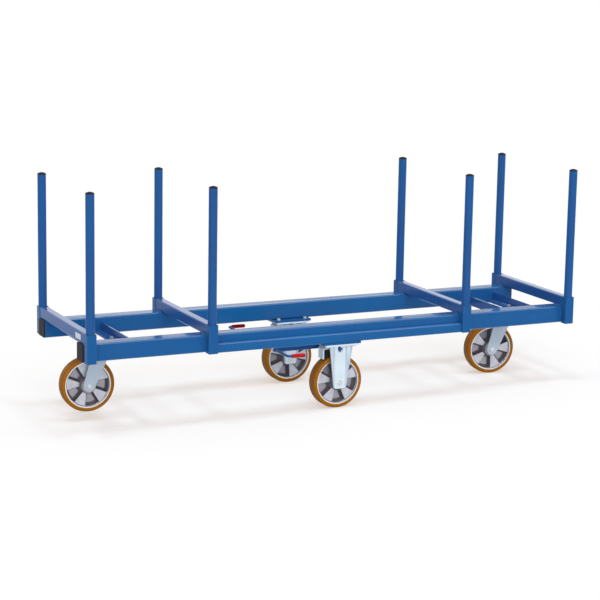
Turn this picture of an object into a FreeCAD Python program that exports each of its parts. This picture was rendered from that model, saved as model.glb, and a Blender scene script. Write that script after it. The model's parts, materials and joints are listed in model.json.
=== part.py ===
"""Long material cart: a welded ladder frame on two fixed centre castors and two swivel end castors.

The frame is two long square rails with four cross-beams on top. Eight round stakes stand loose in
square pockets on the rails' outer faces. The end wheels ride higher than the centre wheels, so the
loaded cart tips on its middle axle and turns on the spot. Each fixed castor has a hand brake.
Origin: on the floor under the middle of the cart, +X along the rails, +Z up. Millimetres.
"""
import FreeCAD, Part
import math
import os

import Sketcher

# Driving sizes: alias, value, meaning
SIZES = [
    ("rail_length", 2490, "side rail, without its end plugs"),
    ("rail_size", 80, "side of the square rail tube"),
    ("rail_wall", 5, "wall of the rail tube"),
    ("rail_corner", 8, "outer corner radius of the rail tube"),
    ("rail_spacing", 540, "between the two rails' centre lines"),
    ("plug_head", 5, "plug standing proud of the rail's end"),
    ("plug_depth", 25, "plug inside the rail"),
    ("plug_play", 0.3, "gap round the plug inside the rail"),
    ("plug_edge", 2, "rounded edge of the plug's head"),
    ("beam_width", 40, "cross-beam tube along the cart"),
    ("beam_height", 50, "cross-beam tube upwards"),
    ("beam_wall", 3, "wall of the cross-beam tube"),
    ("beam_corner", 5, "outer corner radius of the cross-beam tube"),
    ("inner_beam_place", 650, "inner cross-beams from the middle of the cart"),
    ("pocket_wall", 2, "wall of a stake pocket"),
    ("pocket_floor", 5, "floor of a stake pocket"),
    ("pocket_corner", 5, "outer corner radius of a stake pocket"),
    ("drain_diameter", 12, "water hole in a pocket's floor"),
    ("stake_diameter", 40, "round stake tube"),
    ("stake_wall", 2.5, "wall of the stake tube"),
    ("stake_length", 740, "stake tube, without its cap"),
    ("stake_play", 0.5, "gap round the stake in its pocket"),
    ("stake_seat", 0.3, "gap under the stake"),
    ("cap_rim", 3, "straight edge of the stake cap"),
    ("cap_height", 9.5, "whole head of the stake cap"),
    ("cap_depth", 20, "cap inside the stake"),
    ("cap_play", 0.1, "gap round the cap inside the stake"),
    ("side_tube_height", 40, "stiffening tube on the rail's outer face, upwards"),
    ("side_tube_depth", 30, "stiffening tube, away from the rail"),
    ("side_tube_wall", 3, "wall of the stiffening tube"),
    ("side_tube_corner", 4, "outer corner radius of the stiffening tube"),
    ("wheel_diameter", 250, "wheel over its tyre"),
    ("wheel_width", 60, "tyre across its tread"),
    ("tyre_thickness", 18, "tyre on its rim"),
    ("tyre_shoulder", 12, "rounded shoulder of the tyre"),
    ("rim_lip", 2, "rim edge inside the tyre's side"),
    ("rim_ring", 5, "rim ring under the tyre"),
    ("disc_depth", 38, "cast wheel disc across"),
    ("disc_floor", 11, "metal left under a disc pocket"),
    ("disc_wall", 6, "sloped wall between pockets of the two faces"),
    ("disc_groove", 4, "depth of the grooves round the raised sectors"),
    ("sector_count", 5, "raised sectors on each face of the disc"),
    ("pocket_draft", 20, "slope of a pocket's walls, degrees"),
    ("hub_groove", 6, "groove between the hub and the raised sectors"),
    ("rim_groove", 4, "groove between the raised sectors and the rim ring"),
    ("hub_diameter", 68, "wheel hub"),
    ("hub_play", 2, "gap between the hub and a fork leg"),
    ("bearing_diameter", 47, "ball bearing outside"),
    ("bearing_width", 14, "ball bearing across"),
    ("bearing_shield", 1.5, "recess of the bearing's shield"),
    ("bearing_play", 0.05, "gap between a bearing and its axle sleeve"),
    ("hub_shoulder", 4, "step that stops a bearing in the hub"),
    ("sleeve_diameter", 20, "axle sleeve between the fork legs"),
    ("axle_diameter", 12, "axle bolt"),
    ("axle_play", 0.2, "gap round the axle bolt"),
    ("axle_head_width", 19, "axle bolt head and nut across flats"),
    ("axle_head_height", 8, "axle bolt head and nut"),
    ("castor_room", 60, "top of a castor's plate above its wheel"),
    ("plate_length", 175, "castor plate along the cart"),
    ("plate_width", 140, "castor plate across the cart"),
    ("plate_thickness", 8, "castor plate"),
    ("plate_corner", 10, "corner radius of the castor plate"),
    ("bolt_length_pitch", 140, "castor bolts along the cart"),
    ("bolt_width_pitch", 105, "castor bolts across the cart"),
    ("bolt_diameter", 10, "castor bolt"),
    ("bolt_play", 0.5, "gap round a castor bolt"),
    ("bolt_head_width", 16, "castor bolt head and nut across flats"),
    ("bolt_head_height", 6.5, "castor bolt head"),
    ("nut_height", 8, "castor nut"),
    ("bolt_tip", 2, "bolt standing out of its nut"),
    ("adaptor_length", 190, "adaptor plate under the rail, along the cart"),
    ("adaptor_thickness", 10, "adaptor plate under the rail"),
    ("fork_gap", 84, "between the legs of a fork"),
    ("fork_sheet", 6, "sheet of a fork leg"),
    ("leg_panel", 52, "flat panel of a fixed fork's leg"),
    ("leg_top", 118, "fixed fork's leg at its plate"),
    ("leg_foot", 66, "fixed fork's leg at its foot"),
    ("leg_flare", 10, "leg's side flanges leaning outwards"),
    ("foot_drop", 28, "foot below the axle"),
    ("foot_edge", 16, "straight side of the foot"),
    ("foot_corner", 13, "corner radius of the foot"),
    ("swivel_inset", 166.5, "swivel axes from the end cross-beams"),
    ("end_lift", 20, "end wheels above the floor when the cart is level"),
    ("castor_trail", 68, "wheel centre behind its swivel axis"),
    ("left_turn", 4, "left castor's angle as it stands"),
    ("right_turn", 7, "right castor's angle as it stands"),
    ("left_spin", 31, "left wheel's angle as it stands"),
    ("right_spin", 1, "right wheel's angle as it stands"),
    ("front_spin", 23, "front wheel's angle as it stands"),
    ("rear_spin", 3, "rear wheel's angle as it stands"),
    ("race_diameter", 104, "swivel head's ball race"),
    ("race_height", 14, "swivel head's ball race"),
    ("race_play", 0.3, "gap between the swivel head and the fork"),
    ("pin_diameter", 24, "king pin"),
    ("pin_play", 0.1, "gap round the king pin"),
    ("pin_nut_diameter", 38, "king pin's nut"),
    ("pin_nut_height", 12, "king pin's nut"),
    ("crown_thickness", 10, "crown of the swivel fork"),
    ("crown_front", 38, "swivel leg in front of its axis, at the crown"),
    ("crown_back", 50, "swivel leg behind its axis, at the crown"),
    ("crown_bend", 9, "rounded edge from the crown to a leg"),
    ("leg_end_radius", 27, "round end of a swivel leg"),
    ("carrier_offset", 88, "carrier angle's outer face from the swivel axis"),
    ("carrier_web", 45, "carrier angle upwards"),
    ("carrier_flange", 45, "carrier angle's flange"),
    ("carrier_sheet", 6, "wall of the carrier angle"),
    ("carrier_fillet", 5, "inner corner of the carrier angle"),
    ("brake_clear", 2, "gap between the brake lever's boss and the castor plate"),
    ("brake_shaft_diameter", 18, "brake shaft"),
    ("brake_shaft_play", 0.1, "gap round the brake shaft in its bush"),
    ("brake_slot_width", 26, "slot for the brake shaft in the outer leg"),
    ("brake_slot_height", 32, "slot for the brake shaft in the outer leg"),
    ("bush_diameter", 26, "brake bush in the inner leg"),
    ("bush_flange_diameter", 34, "brake bush's flange"),
    ("bush_flange", 3, "brake bush's flange"),
    ("bush_inside", 6, "brake bush inside the inner leg"),
    ("boss_diameter", 32, "boss of the brake lever"),
    ("boss_play", 0.3, "gap between the boss and the bush"),
    ("lever_diameter", 20, "round bar of the brake lever"),
    ("lever_length", 278, "bar of the brake lever"),
    ("lever_drop", 7, "bar below the brake shaft"),
    ("lever_play", 3, "gap between the bar and the fork's flange"),
    ("crank_diameter", 12, "bent rod of the brake lever"),
    ("crank_bend", 14, "bend of the rod"),
    ("grip_reach", 74, "grip outside the wheel's middle plane"),
    ("grip_start", 5, "rod between its bend line and the grip"),
    ("grip_diameter", 18, "grip"),
    ("grip_length", 66, "grip"),
    ("grip_end", 4, "closed end of the grip"),
    ("grip_round", 5, "rounded end of the grip"),
    ("grip_play", 0.05, "gap round the rod in its grip"),
    ("shoe_hub_diameter", 28, "hub of the brake shoe"),
    ("shoe_width", 50, "brake shoe across"),
    ("shoe_sheet", 6, "sheet of the brake shoe"),
    ("shoe_reach", 78, "front of the brake shoe from its shaft"),
    ("shoe_drop", 51, "brake shoe's front plate"),
    ("pad_width", 44, "brake pad across"),
    ("pad_length", 36, "brake pad along the tread"),
    ("pad_gap", 4, "released pad above the tread"),
]

# Sizes that follow from the driving sizes
FOLLOWING = [
    ("rail_half", "=rail_size / 2"),
    ("rail_bore_half", "=rail_half - rail_wall"),
    ("rail_reach", "=rail_length / 2"),
    ("rail_line", "=rail_spacing / 2"),
    ("castor_height", "=wheel_diameter + castor_room"),
    ("rail_base", "=castor_height + adaptor_thickness"),
    ("rail_middle", "=rail_base + rail_half"),
    ("rail_face", "=rail_line + rail_half"),
    ("plug_half", "=rail_bore_half - plug_play"),
    ("beam_half_width", "=beam_width / 2"),
    ("beam_half_height", "=beam_height / 2"),
    ("beam_bore_width", "=beam_half_width - beam_wall"),
    ("beam_bore_height", "=beam_half_height - beam_wall"),
    ("beam_length", "=2 * rail_face"),
    ("beam_middle", "=rail_base + rail_size + beam_half_height"),
    ("stake_radius", "=stake_diameter / 2"),
    ("stake_bore", "=stake_radius - stake_wall"),
    ("pocket_bore_half", "=stake_radius + stake_play"),
    ("pocket_half", "=pocket_bore_half + pocket_wall"),
    ("pocket_line", "=rail_face + pocket_half"),
    ("pocket_height", "=rail_size + beam_height"),
    ("end_place", "=rail_reach - pocket_half"),
    ("drain_radius", "=drain_diameter / 2"),
    ("stake_base", "=rail_base + pocket_floor + stake_seat"),
    ("stake_top", "=stake_base + stake_length"),
    ("cap_spigot", "=stake_bore - cap_play"),
    ("side_half_depth", "=side_tube_depth / 2"),
    ("side_half_height", "=side_tube_height / 2"),
    ("side_bore_depth", "=side_half_depth - side_tube_wall"),
    ("side_bore_height", "=side_half_height - side_tube_wall"),
    ("side_tube_length", "=2 * (inner_beam_place - pocket_half)"),
    ("side_line", "=rail_face + side_half_depth"),
    ("side_middle", "=rail_base + side_half_height"),
    ("wheel_radius", "=wheel_diameter / 2"),
    ("wheel_half", "=wheel_width / 2"),
    ("rim_radius", "=wheel_radius - tyre_thickness"),
    ("rim_half", "=wheel_half - rim_lip"),
    ("rim_inner", "=rim_radius - rim_ring"),
    ("disc_half", "=disc_depth / 2"),
    ("groove_half", "=disc_half - disc_groove"),
    ("hub_radius", "=hub_diameter / 2"),
    ("hub_half", "=fork_gap / 2 - hub_play"),
    ("sector_root", "=hub_radius + hub_groove"),
    ("sector_rim", "=rim_inner - rim_groove"),
    ("sector_step", "=180 / sector_count"),
    ("pocket_depth", "=disc_depth - disc_floor"),
    ("pocket_spread", "=disc_half * tan(pocket_draft) - disc_wall / 2"),
    ("root_angle", "=sector_step / 2 + asin(pocket_spread / sector_root) / 1 deg"),
    ("rim_angle", "=sector_step / 2 + asin(pocket_spread / sector_rim) / 1 deg"),
    ("root_reach", "=sector_root * cos(root_angle)"),
    ("root_side", "=sector_root * sin(root_angle)"),
    ("rim_reach", "=sector_rim * cos(rim_angle)"),
    ("rim_side", "=sector_rim * sin(rim_angle)"),
    ("bearing_radius", "=bearing_diameter / 2"),
    ("bearing_stop", "=hub_half - bearing_width"),
    ("core_radius", "=bearing_radius - hub_shoulder"),
    ("sleeve_radius", "=sleeve_diameter / 2"),
    ("bearing_bore", "=sleeve_radius + bearing_play"),
    ("shield_inner", "=bearing_bore + hub_shoulder"),
    ("shield_outer", "=bearing_radius - hub_shoulder"),
    ("shield_face", "=bearing_width - bearing_shield"),
    ("axle_radius", "=axle_diameter / 2"),
    ("axle_bore", "=axle_radius + axle_play"),
    ("axle_head_radius", "=axle_head_width / 2 / cos(30)"),
    ("leg_inner", "=fork_gap / 2"),
    ("leg_outer", "=leg_inner + fork_sheet"),
    ("fork_width", "=2 * leg_outer"),
    ("axle_length", "=fork_width + axle_head_height + bolt_tip"),
    ("plate_half_length", "=plate_length / 2"),
    ("plate_half_width", "=plate_width / 2"),
    ("adaptor_half_length", "=adaptor_length / 2"),
    ("bolt_half_length", "=bolt_length_pitch / 2"),
    ("bolt_half_width", "=bolt_width_pitch / 2"),
    ("bolt_radius", "=bolt_diameter / 2"),
    ("bolt_hole", "=bolt_radius + bolt_play"),
    ("bolt_head_radius", "=bolt_head_width / 2 / cos(30)"),
    ("fixed_plate_base", "=castor_height - plate_thickness"),
    ("short_bolt_length", "=plate_thickness + adaptor_thickness"),
    ("long_bolt_length", "=short_bolt_length + nut_height + bolt_tip"),
    ("end_nut_seat", "=plate_thickness + carrier_sheet"),
    ("end_bolt_length", "=end_nut_seat + nut_height + bolt_tip"),
    ("end_bolt_base", "=castor_height + end_lift - plate_thickness"),
    ("leg_height", "=fixed_plate_base - wheel_radius"),
    ("hat_height", "=leg_height + foot_drop"),
    ("panel_half", "=leg_panel / 2"),
    ("edge_half", "=leg_top / 2"),
    ("foot_half", "=leg_foot / 2"),
    ("foot_start", "=foot_drop - foot_edge"),
    ("flare_inner", "=leg_inner + leg_flare"),
    ("flare_outer", "=leg_outer + leg_flare"),
    ("outline_width", "=2 * flare_outer"),
    ("swivel_place", "=end_place - swivel_inset"),
    ("swivel_base", "=castor_height + end_lift"),
    ("swivel_axle", "=wheel_radius + end_lift"),
    ("left_reach", "=castor_trail * cos(left_turn)"),
    ("left_side", "=castor_trail * sin(left_turn)"),
    ("right_reach", "=castor_trail * cos(right_turn)"),
    ("right_side", "=castor_trail * sin(right_turn)"),
    ("left_wheel_place", "=swivel_place + left_reach"),
    ("right_wheel_place", "=swivel_place - right_reach"),
    ("race_radius", "=race_diameter / 2"),
    ("race_base", "=plate_thickness + race_height"),
    ("crown_top", "=castor_height - wheel_radius - race_base - race_play"),
    ("crown_base", "=crown_top - crown_thickness"),
    ("pin_radius", "=pin_diameter / 2"),
    ("pin_hole", "=pin_radius + pin_play"),
    ("pin_nut_radius", "=pin_nut_diameter / 2"),
    ("pin_nut_top", "=race_base + crown_thickness + 2 * race_play"),
    ("pin_nut_base", "=pin_nut_top + pin_nut_height"),
    ("leg_end_drop", "=leg_end_radius + foot_edge"),
    ("carrier_length", "=2 * (rail_line - rail_half)"),
    ("carrier_inner", "=carrier_offset - carrier_sheet"),
    ("carrier_edge", "=carrier_offset - carrier_flange"),
    ("brake_height", "=fixed_plate_base - brake_clear - boss_diameter / 2"),
    ("brake_rise", "=brake_height - wheel_radius"),
    ("brake_shaft_radius", "=brake_shaft_diameter / 2"),
    ("bush_radius", "=bush_diameter / 2"),
    ("bush_bore", "=brake_shaft_radius + brake_shaft_play"),
    ("bush_flange_radius", "=bush_flange_diameter / 2"),
    ("bush_end", "=leg_inner - bush_inside"),
    ("bush_face", "=leg_outer + bush_flange"),
    ("slot_radius", "=brake_slot_width / 2"),
    ("slot_low", "=brake_rise - brake_slot_height / 2 + slot_radius"),
    ("slot_high", "=brake_rise + brake_slot_height / 2 - slot_radius"),
    ("boss_radius", "=boss_diameter / 2"),
    ("boss_start", "=bush_face + boss_play"),
    ("lever_radius", "=lever_diameter / 2"),
    ("lever_line", "=flare_outer + lever_play + lever_radius"),
    ("boss_end", "=lever_line + lever_radius"),
    ("boss_length", "=boss_end - boss_start"),
    ("shaft_length", "=boss_end + leg_outer"),
    ("lever_height", "=brake_height - lever_drop"),
    ("crank_radius", "=crank_diameter / 2"),
    ("crank_length", "=lever_line + grip_reach"),
    ("crank_turn", "=crank_length - crank_bend"),
    ("rod_length", "=grip_start + crank_bend + grip_length - grip_end"),
    ("grip_line", "=rail_line + grip_reach"),
    ("grip_place", "=lever_length - crank_bend - grip_start"),
    ("grip_radius", "=grip_diameter / 2"),
    ("grip_bore", "=crank_radius + grip_play"),
    ("grip_depth", "=grip_length - grip_end"),
    ("shoe_hub_radius", "=shoe_hub_diameter / 2"),
    ("shoe_bore", "=brake_shaft_radius + grip_play"),
    ("shoe_half", "=shoe_width / 2"),
    ("shoe_under", "=shoe_sheet / 2"),
    ("shoe_front_base", "=shoe_drop - shoe_under"),
    ("pad_half", "=pad_width / 2"),
    ("pad_front", "=shoe_reach - shoe_sheet"),
    ("pad_radius", "=wheel_radius + pad_gap"),
    ("pad_drop", "=brake_rise - sqrt(pad_radius ^ 2 - pad_front ^ 2)"),
    ("pad_block_base", "=pad_drop + pad_gap"),
    ("pad_block", "=pad_block_base - shoe_under"),
]

# Each stake's name and its cross-beam, from the left end to the right
STAKE_PLACES = {1: "-end_place", 2: "-inner_beam_place", 3: "inner_beam_place", 4: "end_place"}
BEAM_PLACES = {
    "left_end": "-end_place",
    "left_inner": "-inner_beam_place",
    "right_inner": "inner_beam_place",
    "right_end": "end_place",
}

X_AXIS = FreeCAD.Vector(1, 0, 0)
Y_AXIS = FreeCAD.Vector(0, 1, 0)
Z_AXIS = FreeCAD.Vector(0, 0, 1)
TOUCH = 1e-3

doc = FreeCAD.newDocument("LongMaterialCart")
sheet = doc.addObject("Spreadsheet::Sheet", "Sizes")
nodes = {}


def fill_sheet():
    """Write the driving sizes and the ones that follow from them into the sheet."""
    for row, (alias, size, meaning) in enumerate(SIZES, start=1):
        sheet.set(f"A{row}", alias)
        sheet.set(f"B{row}", str(size))
        sheet.set(f"C{row}", meaning)
        sheet.setAlias(f"B{row}", alias)
    for row, (alias, formula) in enumerate(FOLLOWING, start=len(SIZES) + 1):
        sheet.set(f"A{row}", alias)
        sheet.set(f"B{row}", formula)
        sheet.setAlias(f"B{row}", alias)
    doc.recompute()


def amount(name):
    """Number behind a size's name; a leading minus turns it round and "0" is zero."""
    if name == "0":
        return 0.0
    if name.startswith("-"):
        return -amount(name[1:])
    return float(sheet.get(name))


def term(name):
    """Expression that reads a size from the sheet."""
    return f"-Sizes.{name[1:]}" if name.startswith("-") else f"Sizes.{name}"


def add_node(label, shape_object):
    """Name a finished sub-part and keep it for export."""
    shape_object.Label = label
    nodes[label] = shape_object
    return shape_object


def bind(target, **sizes):
    """Tie an object's properties to sizes of the sheet."""
    for prop, name in sizes.items():
        target.setExpression(prop, term(name))
    return target


def place(target, x="0", y="0", z="0", turn=None, axis=Z_AXIS):
    """Put an object at sheet sizes, turned about an axis by a number of degrees."""
    if turn is not None:
        target.Placement = FreeCAD.Placement(FreeCAD.Vector(), FreeCAD.Rotation(axis, turn))
    for letter, name in (("x", x), ("y", y), ("z", z)):
        if name != "0":
            target.setExpression(f"Placement.Base.{letter}", term(name))
    return target


def new_body(name):
    """Empty body for one sub-part."""
    return doc.addObject("PartDesign::Body", name)


def origin_part(body, role):
    """Plane or axis of a body's own origin."""
    return next(item for item in body.Origin.OriginFeatures if item.Role == role)


def sketch_on(body, role, offset=None):
    """New sketch on one of the body's planes, moved along the plane's normal."""
    sketch = body.newObject("Sketcher::SketchObject", "Sketch")
    sketch.AttachmentSupport = [(origin_part(body, role), "")]
    sketch.MapMode = "FlatFace"
    if offset:
        sketch.setExpression("AttachmentOffset.Base.z", term(offset))
    return sketch


def pin(sketch, geometry, end, corner):
    """Fix one point of a sketch at two sheet sizes."""
    for kind, axis, name in (("DistanceX", -2, corner[0]), ("DistanceY", -1, corner[1])):
        if name == "0":
            sketch.addConstraint(Sketcher.Constraint("PointOnObject", geometry, end, axis))
            continue
        ends = (geometry, end, -1, 1) if name.startswith("-") else (-1, 1, geometry, end)
        size = name.lstrip("-")
        index = sketch.addConstraint(Sketcher.Constraint(kind, *ends, amount(size)))
        sketch.setExpression(f"Constraints[{index}]", term(size))


def set_radius(sketch, geometry, radius):
    """Fix the radius of a circle or arc at a sheet size."""
    index = sketch.addConstraint(Sketcher.Constraint("Radius", geometry, amount(radius)))
    sketch.setExpression(f"Constraints[{index}]", term(radius))


def polygon(sketch, corners):
    """Closed outline with straight sides through corners given as pairs of sizes."""
    first = sketch.GeometryCount
    points = [FreeCAD.Vector(amount(x), amount(y), 0) for x, y in corners]
    for start, end in zip(points, points[1:] + points[:1]):
        sketch.addGeometry(Part.LineSegment(start, end), False)
    for index, corner in enumerate(corners):
        following = first + (index + 1) % len(corners)
        sketch.addConstraint(Sketcher.Constraint("Coincident", first + index, 2, following, 1))
        pin(sketch, first + index, 1, corner)


def rectangle(sketch, half_x, half_y):
    """Rectangle round the sketch's origin."""
    low_x = f"-{half_x}"
    low_y = f"-{half_y}"
    polygon(sketch, [(low_x, low_y), (half_x, low_y), (half_x, half_y), (low_x, half_y)])


def circle(sketch, radius, x="0", y="0"):
    """Circle at a pair of sizes."""
    centre = FreeCAD.Vector(amount(x), amount(y), 0)
    index = sketch.addGeometry(Part.Circle(centre, Z_AXIS, amount(radius)), False)
    set_radius(sketch, index, radius)
    pin(sketch, index, 3, (x, y))


def upright_slot(sketch, radius, low, high):
    """Oblong hole whose round ends are centred at two heights on the vertical axis."""
    width = amount(radius)
    arcs = []
    for height, start in ((low, math.pi), (high, 0.0)):
        curve = Part.Circle(FreeCAD.Vector(0, amount(height), 0), Z_AXIS, width)
        arcs.append(sketch.addGeometry(Part.ArcOfCircle(curve, start, start + math.pi), False))
        set_radius(sketch, arcs[-1], radius)
        pin(sketch, arcs[-1], 3, ("0", height))
    for side, low_end, high_end in ((1, 2, 1), (-1, 1, 2)):
        foot = FreeCAD.Vector(side * width, amount(low), 0)
        head = FreeCAD.Vector(side * width, amount(high), 0)
        line = sketch.addGeometry(Part.LineSegment(foot, head), False)
        sketch.addConstraint(Sketcher.Constraint("Tangent", line, 1, arcs[0], low_end))
        sketch.addConstraint(Sketcher.Constraint("Tangent", line, 2, arcs[1], high_end))


def pad(body, sketch, length, both_ways=False, backwards=False):
    """Extrude a sketch by a sheet size."""
    feature = body.newObject("PartDesign::Pad", "Pad")
    feature.Profile = sketch
    feature.SideType = "Symmetric" if both_ways else "One side"
    feature.Reversed = backwards
    return bind(feature, Length=length)


def cut_through(body, sketch, both_ways=True, backwards=False):
    """Cut a sketch right through the body."""
    feature = body.newObject("PartDesign::Pocket", "Pocket")
    feature.Profile = sketch
    feature.Type = "ThroughAll"
    feature.SideType = "Symmetric" if both_ways else "One side"
    feature.Reversed = backwards
    return feature


def revolve(body, sketch):
    """Turn a sketch once round its own vertical axis."""
    feature = body.newObject("PartDesign::Revolution", "Revolution")
    feature.Profile = sketch
    feature.ReferenceAxis = (sketch, ["V_Axis"])
    feature.Angle = 360
    return feature


def round_edges(body, chosen, radius):
    """Fillet the edges of the body's tip that a test chooses."""
    doc.recompute()
    tip = body.Tip
    names = [f"Edge{i}" for i, edge in enumerate(tip.Shape.Edges, start=1) if chosen(edge)]
    feature = body.newObject("PartDesign::Fillet", "Fillet")
    feature.Base = (tip, names)
    return bind(feature, Radius=radius)


def corner_test(box, axes):
    """Test for edges that run along the corners of a bounding box across two axes."""
    limits = {
        "x": (box.XMin, box.XMax),
        "y": (box.YMin, box.YMax),
        "z": (box.ZMin, box.ZMax),
    }

    def on_corner(edge):
        inside = edge.BoundBox
        spans = {
            "x": (inside.XMin, inside.XMax),
            "y": (inside.YMin, inside.YMax),
            "z": (inside.ZMin, inside.ZMax),
        }
        for axis in axes:
            low, high = spans[axis]
            if high - low > TOUCH:
                return False
            if min(abs(low - limit) for limit in limits[axis]) > TOUCH:
                return False
        return True

    return on_corner


def round_corners(body, axes, radius):
    """Fillet the outer edges that run square to two axes."""
    doc.recompute()
    return round_edges(body, corner_test(body.Tip.Shape.BoundBox, axes), radius)


def fuse(*pieces):
    """One solid from overlapping pieces."""
    joined = doc.addObject("Part::MultiFuse", "Fusion")
    joined.Shapes = list(pieces)
    joined.Refine = True
    return joined


def subtract(base, tool):
    """One piece with another cut away."""
    result = doc.addObject("Part::Cut", "Cut")
    result.Base = base
    result.Tool = tool
    return result


def mirror(source):
    """The same piece on the other side of the cart's long middle plane."""
    copy = doc.addObject("Part::Mirroring", "Mirror")
    copy.Source = source
    copy.Normal = Y_AXIS
    return copy


def group(pieces):
    """Separate solids kept together."""
    bundle = doc.addObject("Part::Compound", "Group")
    bundle.Links = list(pieces)
    return bundle


def cylinder(radius, height):
    """Round bar along its own Z axis."""
    return bind(doc.addObject("Part::Cylinder", "Cylinder"), Radius=radius, Height=height)


def hexagon(radius, height):
    """Six-sided bar along its own Z axis."""
    prism = doc.addObject("Part::Prism", "Prism")
    prism.Polygon = 6
    return bind(prism, Circumradius=radius, Height=height)


def box(length, width, height):
    """Block from its own lowest corner."""
    return bind(doc.addObject("Part::Box", "Box"), Length=length, Width=width, Height=height)


def ring(outer, inner, length):
    """Round tube along its own Z axis."""
    body = new_body("Ring")
    sketch = sketch_on(body, "XY_Plane")
    circle(sketch, outer)
    circle(sketch, inner)
    pad(body, sketch, length)
    return body


def tube(name, role, length, outer, inner, axes, corner):
    """Straight rectangular tube, centred on its own origin, with rounded outer corners."""
    body = new_body(name)
    sketch = sketch_on(body, role)
    rectangle(sketch, *outer)
    rectangle(sketch, *inner)
    pad(body, sketch, length, both_ways=True)
    round_corners(body, axes, corner)
    return body


def bolt_circles(sketch):
    """Four holes for the castor bolts."""
    for x in ("-bolt_half_length", "bolt_half_length"):
        for y in ("-bolt_half_width", "bolt_half_width"):
            circle(sketch, "bolt_hole", x, y)


def build_rails():
    """Two square rails and the plugs in their ends."""
    rail = tube("Rail", "YZ_Plane", "rail_length", ("rail_half", "rail_half"),
                ("rail_bore_half", "rail_bore_half"), "yz", "rail_corner")
    add_node("rail_front", place(rail, y="-rail_line", z="rail_middle"))
    add_node("rail_rear", mirror(rail))
    plugs = []
    for x, turn in (("-rail_reach", 180), ("rail_reach", 0)):
        for y in ("-rail_line", "rail_line"):
            plugs.append(place(build_plug(), x=x, y=y, z="rail_middle", turn=turn))
    add_node("rail_end_plugs", group(plugs))


def build_plug():
    """Square plug: a rounded head on the rail's end and a shank inside."""
    body = new_body("Plug")
    head = sketch_on(body, "YZ_Plane")
    rectangle(head, "rail_half", "rail_half")
    pad(body, head, "plug_head")
    round_corners(body, "yz", "rail_corner")
    doc.recompute()
    face = body.Tip.Shape.BoundBox.XMax
    round_edges(body, lambda edge: edge.BoundBox.XMin > face - TOUCH, "plug_edge")
    shank = sketch_on(body, "YZ_Plane")
    rectangle(shank, "plug_half", "plug_half")
    pad(body, shank, "plug_depth", backwards=True)
    return body


def build_beams():
    """Four cross-beams that carry the load, on top of the rails."""
    for name, x in BEAM_PLACES.items():
        beam = tube("Beam", "XZ_Plane", "beam_length", ("beam_half_width", "beam_half_height"),
                    ("beam_bore_width", "beam_bore_height"), "xz", "beam_corner")
        add_node(f"cross_beam_{name}", place(beam, x=x, z="beam_middle"))


def build_pocket():
    """Square stake pocket with a floor and a water hole."""
    body = new_body("Pocket")
    outline = sketch_on(body, "XY_Plane")
    rectangle(outline, "pocket_half", "pocket_half")
    pad(body, outline, "pocket_height")
    round_corners(body, "xy", "pocket_corner")
    bore = sketch_on(body, "XY_Plane", "pocket_floor")
    rectangle(bore, "pocket_bore_half", "pocket_bore_half")
    cut_through(body, bore, both_ways=False, backwards=True)
    drain = sketch_on(body, "XY_Plane")
    circle(drain, "drain_radius")
    cut_through(body, drain)
    return body


def build_pockets():
    """Stake pockets on the rails' outer faces, up to the load face."""
    pockets = [place(build_pocket(), x=x, y="-pocket_line", z="rail_base")
               for x in STAKE_PLACES.values()]
    add_node("stake_pockets_front", group(pockets))
    add_node("stake_pockets_rear", group([mirror(pocket) for pocket in pockets]))


def build_cap():
    """Domed cap with a shank that sits in the stake's bore."""
    body = new_body("Cap")
    sketch = sketch_on(body, "XZ_Plane")
    corners = [("0", "cap_height"), ("0", "-cap_depth"), ("cap_spigot", "-cap_depth"),
               ("cap_spigot", "0"), ("stake_radius", "0"), ("stake_radius", "cap_rim")]
    points = [FreeCAD.Vector(amount(x), amount(y), 0) for x, y in corners]
    for index, (start, end) in enumerate(zip(points, points[1:])):
        sketch.addGeometry(Part.LineSegment(start, end), False)
        pin(sketch, index, 1, corners[index])
    last = len(points) - 2
    pin(sketch, last, 2, corners[-1])
    for index in range(last):
        sketch.addConstraint(Sketcher.Constraint("Coincident", index, 2, index + 1, 1))
    rise = amount("cap_height") - amount("cap_rim")
    radius = (amount("stake_radius") ** 2 + rise ** 2) / (2 * rise)
    middle = FreeCAD.Vector(0, amount("cap_height") - radius, 0)
    edge_angle = math.atan2(amount("cap_rim") - middle.y, amount("stake_radius"))
    dome = Part.ArcOfCircle(Part.Circle(middle, Z_AXIS, radius), edge_angle, math.pi / 2)
    arc = sketch.addGeometry(dome, False)
    sketch.addConstraint(Sketcher.Constraint("Coincident", last, 2, arc, 1))
    sketch.addConstraint(Sketcher.Constraint("Coincident", arc, 2, 0, 1))
    sketch.addConstraint(Sketcher.Constraint("PointOnObject", arc, 3, -2))
    revolve(body, sketch)
    return body


def build_stakes():
    """Eight loose stakes with their caps."""
    for side, y in (("front", "-pocket_line"), ("rear", "pocket_line")):
        for number, x in STAKE_PLACES.items():
            stake = ring("stake_radius", "stake_bore", "stake_length")
            add_node(f"stake_{side}_{number}", place(stake, x=x, y=y, z="stake_base"))
            add_node(f"stake_cap_{side}_{number}", place(build_cap(), x=x, y=y, z="stake_top"))


def build_side_tubes():
    """Stiffening tubes on the rails' outer faces, between the inner pockets."""
    stiffener = tube("SideTube", "YZ_Plane", "side_tube_length",
                     ("side_half_depth", "side_half_height"),
                     ("side_bore_depth", "side_bore_height"), "yz", "side_tube_corner")
    place(stiffener, y="-side_line", z="side_middle")
    add_node("side_tubes", group([stiffener, mirror(stiffener)]))


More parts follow.
